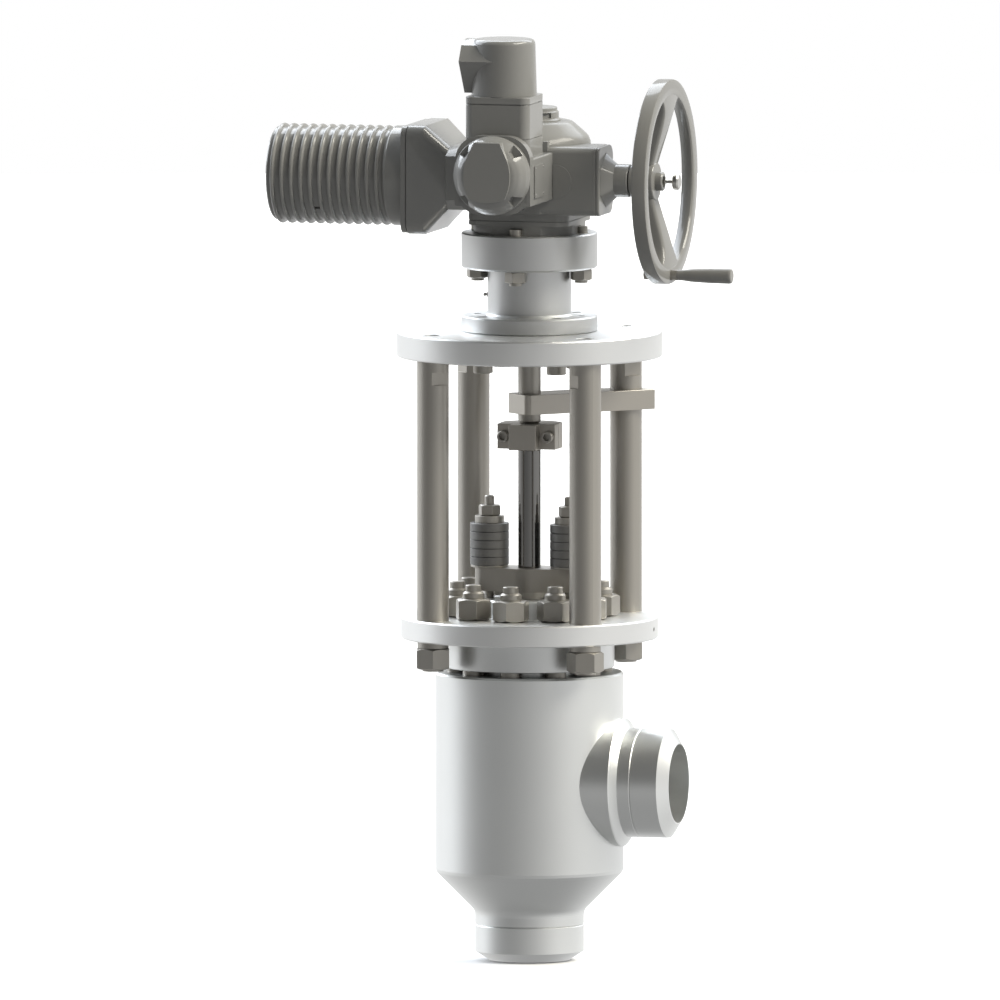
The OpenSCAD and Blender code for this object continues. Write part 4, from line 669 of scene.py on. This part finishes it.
motor_end_x = -399.2
end_section = [(25, 5), (26, 5.6), (28, 7.4), (66, 8), (70, 9), (72, 11), (72, 11.9), (55.85, 11.9),
               (55.85, 15.9), (17, 15.9), (17, 8.2)]
end_plate = turned_on_shaft([(r, motor_end_x + x) for r, x in end_section], 96, ring=False)
add_piece("motor_end_plate", [end_plate], powder_coat, "actuator_paint", "valve", "motor_end_cover")
stator_varnish = finish("stator_varnish", (0.22, 0.08, 0.035), (0.35, 0.2, 0.1), 0.3, 0.4, tint=0.1,
                        lines=(1, 0.03, 0.03))
dress(stator_varnish, "motor_stator")
dress(trim_steel, "motor_rotor")

# The handwheel is cast in one and powder coated. Two spokes run up and down from its hub, lean out to
# the rim, and flow into it. The hub insert carries the push knob, and the grip turns on a steel pin.
wheel_coat = finish("wheel_coat", (0.195, 0.193, 0.182), (0.25, 0.25, 0.24), 0.0, 0.32, coat=0.55,
                    coat_roughness=0.07, gloss=0.05, **coat_skin)
dress(wheel_coat, "handwheel_hub")
rim = [(158, 235.6), (157.3, 237.3), (155.6, 238), (138, 238), (134.8, 237.2), (132.9, 235), (132.7, 232),
       (134.2, 227), (137.6, 221), (140.2, 218.4), (141.2, 216.8), (143.4, 216), (156.6, 216), (158, 217.4)]
hub = [(14.6, 175), (23.8, 175), (24.8, 176), (24.8, 197), (30, 202), (30.4, 204), (30.4, 211), (29.9, 213.4),
       (28.4, 214.8), (26, 215), (14.6, 215)]
# Each row of a spoke is its height above the hub's middle, half its width, and the X of its front
spoke_rows = ((20, 17.5, 211.5), (28, 17.5, 213.6), (40, 18.8, 217), (55, 20.3, 221.4), (70, 22, 225.8),
              (82, 23.5, 229.2), (92, 25, 231.8), (101, 27.2, 234), (109, 30.5, 235.6), (116, 35, 236.5),
              (122, 41, 236.9), (127, 48.5, 237), (131, 56, 237), (136, 58, 237))
back_foot, back_x, back_lean, back_most = 28, 198, 0.16, 213
front_edge_r, back_edge_r = 6, 4


def spoke(side):
    """A bar with round edges, from inside the hub to inside the rim. Side is 1 for up and -1 for down."""
    loops = []
    for height, half, front in spoke_rows:
        loop, back = [], min(back_x + (height - back_foot) * back_lean, back_most)
        for side_y, middle_x, r, start in (
                (1, front - front_edge_r, front_edge_r, 0), (-1, front - front_edge_r, front_edge_r, 90),
                (-1, back + back_edge_r, back_edge_r, 180), (1, back + back_edge_r, back_edge_r, 270)):
            for angle in range(start, start + 105, 15):
                out_y, out_x = on_circle(r, angle)
                loop.append((middle_x + out_x, shaft_y + side * (side_y * (half - r) + out_y),
                             shaft_z + side * height))
        loops.append(loop)
    return joined_loops(loops, ring=False)


crank_r, pin_nut_x = 144, 195
nut_points, nut_faces = hex_nut(0, 0, 0, 0, across=15, height=21, hole=3)
pin_nut = [(pin_nut_x + h, shaft_y + x, shaft_z - crank_r + y) for x, y, h in nut_points], nut_faces
add_piece("crank_pin_nut", [pin_nut], nut_steel, "bare_steel", "handwheel_shaft")
add_piece("two_spoke_wheel", [turned_on_shaft(rim, 144), turned_on_shaft(hub, 72), spoke(1), spoke(-1)],
          wheel_coat, "wheel_paint", "handwheel_shaft", "handwheel")
knob_metal = finish("knob_metal", (0.5, 0.49, 0.46), (0.7, 0.7, 0.68), 1.0, 0.22, rub=0.2,
                    lines=(1, 0.02, 0.02))
dress(knob_metal, "release_button")
dress(nut_steel, "crank_pin")
grip_plastic = finish("grip_plastic", (0.2, 0.197, 0.186), (0.2, 0.2, 0.19), 0.0, 0.36, relief=0.00004,
                      rub=0.2)
dress(grip_plastic, "crank_grip")

# The switch housing and its round cover are castings with the same coat. A front wall closes the
# housing's corners behind the cover, and the switch unit inside is in pale moulded plastic.
dress(powder_coat, "switch_housing", "switch_cover")
pale_plastic = finish("pale_plastic", (0.75, 0.72, 0.62), (0.85, 0.83, 0.75), 0.0, 0.4, tint=0.02)
dress(pale_plastic, "switch_unit")
round_edges(0.0012, "switch_housing")
wall_back, wall_front, half_wall, wall_foot, wall_top = 216, 219.4, 58, 1184, 1254
cover_z, cover_hole_r = 1230, 50
wall_edge = [(-half_wall, wall_foot), (half_wall, wall_foot), (half_wall, wall_top), (-half_wall, wall_top)]
wall_points, wall_faces = cut_plate(wall_back, wall_front, wall_edge, circle(0, cover_z, cover_hole_r)[::-1])
wall_points = [(x, -forward, z) for x, z, forward in wall_points]
add_piece("switch_front_wall", [(wall_points, wall_faces)], powder_coat, "actuator_paint", "valve")
round_edges(0.0014, "switch_cover")

# The terminal box and its plug-in hood are castings too, with a fine seam between them. The cables
# come in through a threaded hole in the hood's side.
dress(powder_coat, "terminal_box", "terminal_cap")
round_edges(0.0016, "terminal_box", "terminal_cap")

# A small bare plate of thin metal is riveted to the side of the switch housing, over the coat, and is
# painted nearly like it.
plate_coat = finish("plate_coat", (0.2, 0.198, 0.188), (0.3, 0.3, 0.29), 0.0, 0.3, relief=0.00002,
                    rub=0.3, coat=0.6, coat_roughness=0.08, gloss=0.1)
dress(plate_coat, "rating_plate")
round_edges(0.0004, "rating_plate")
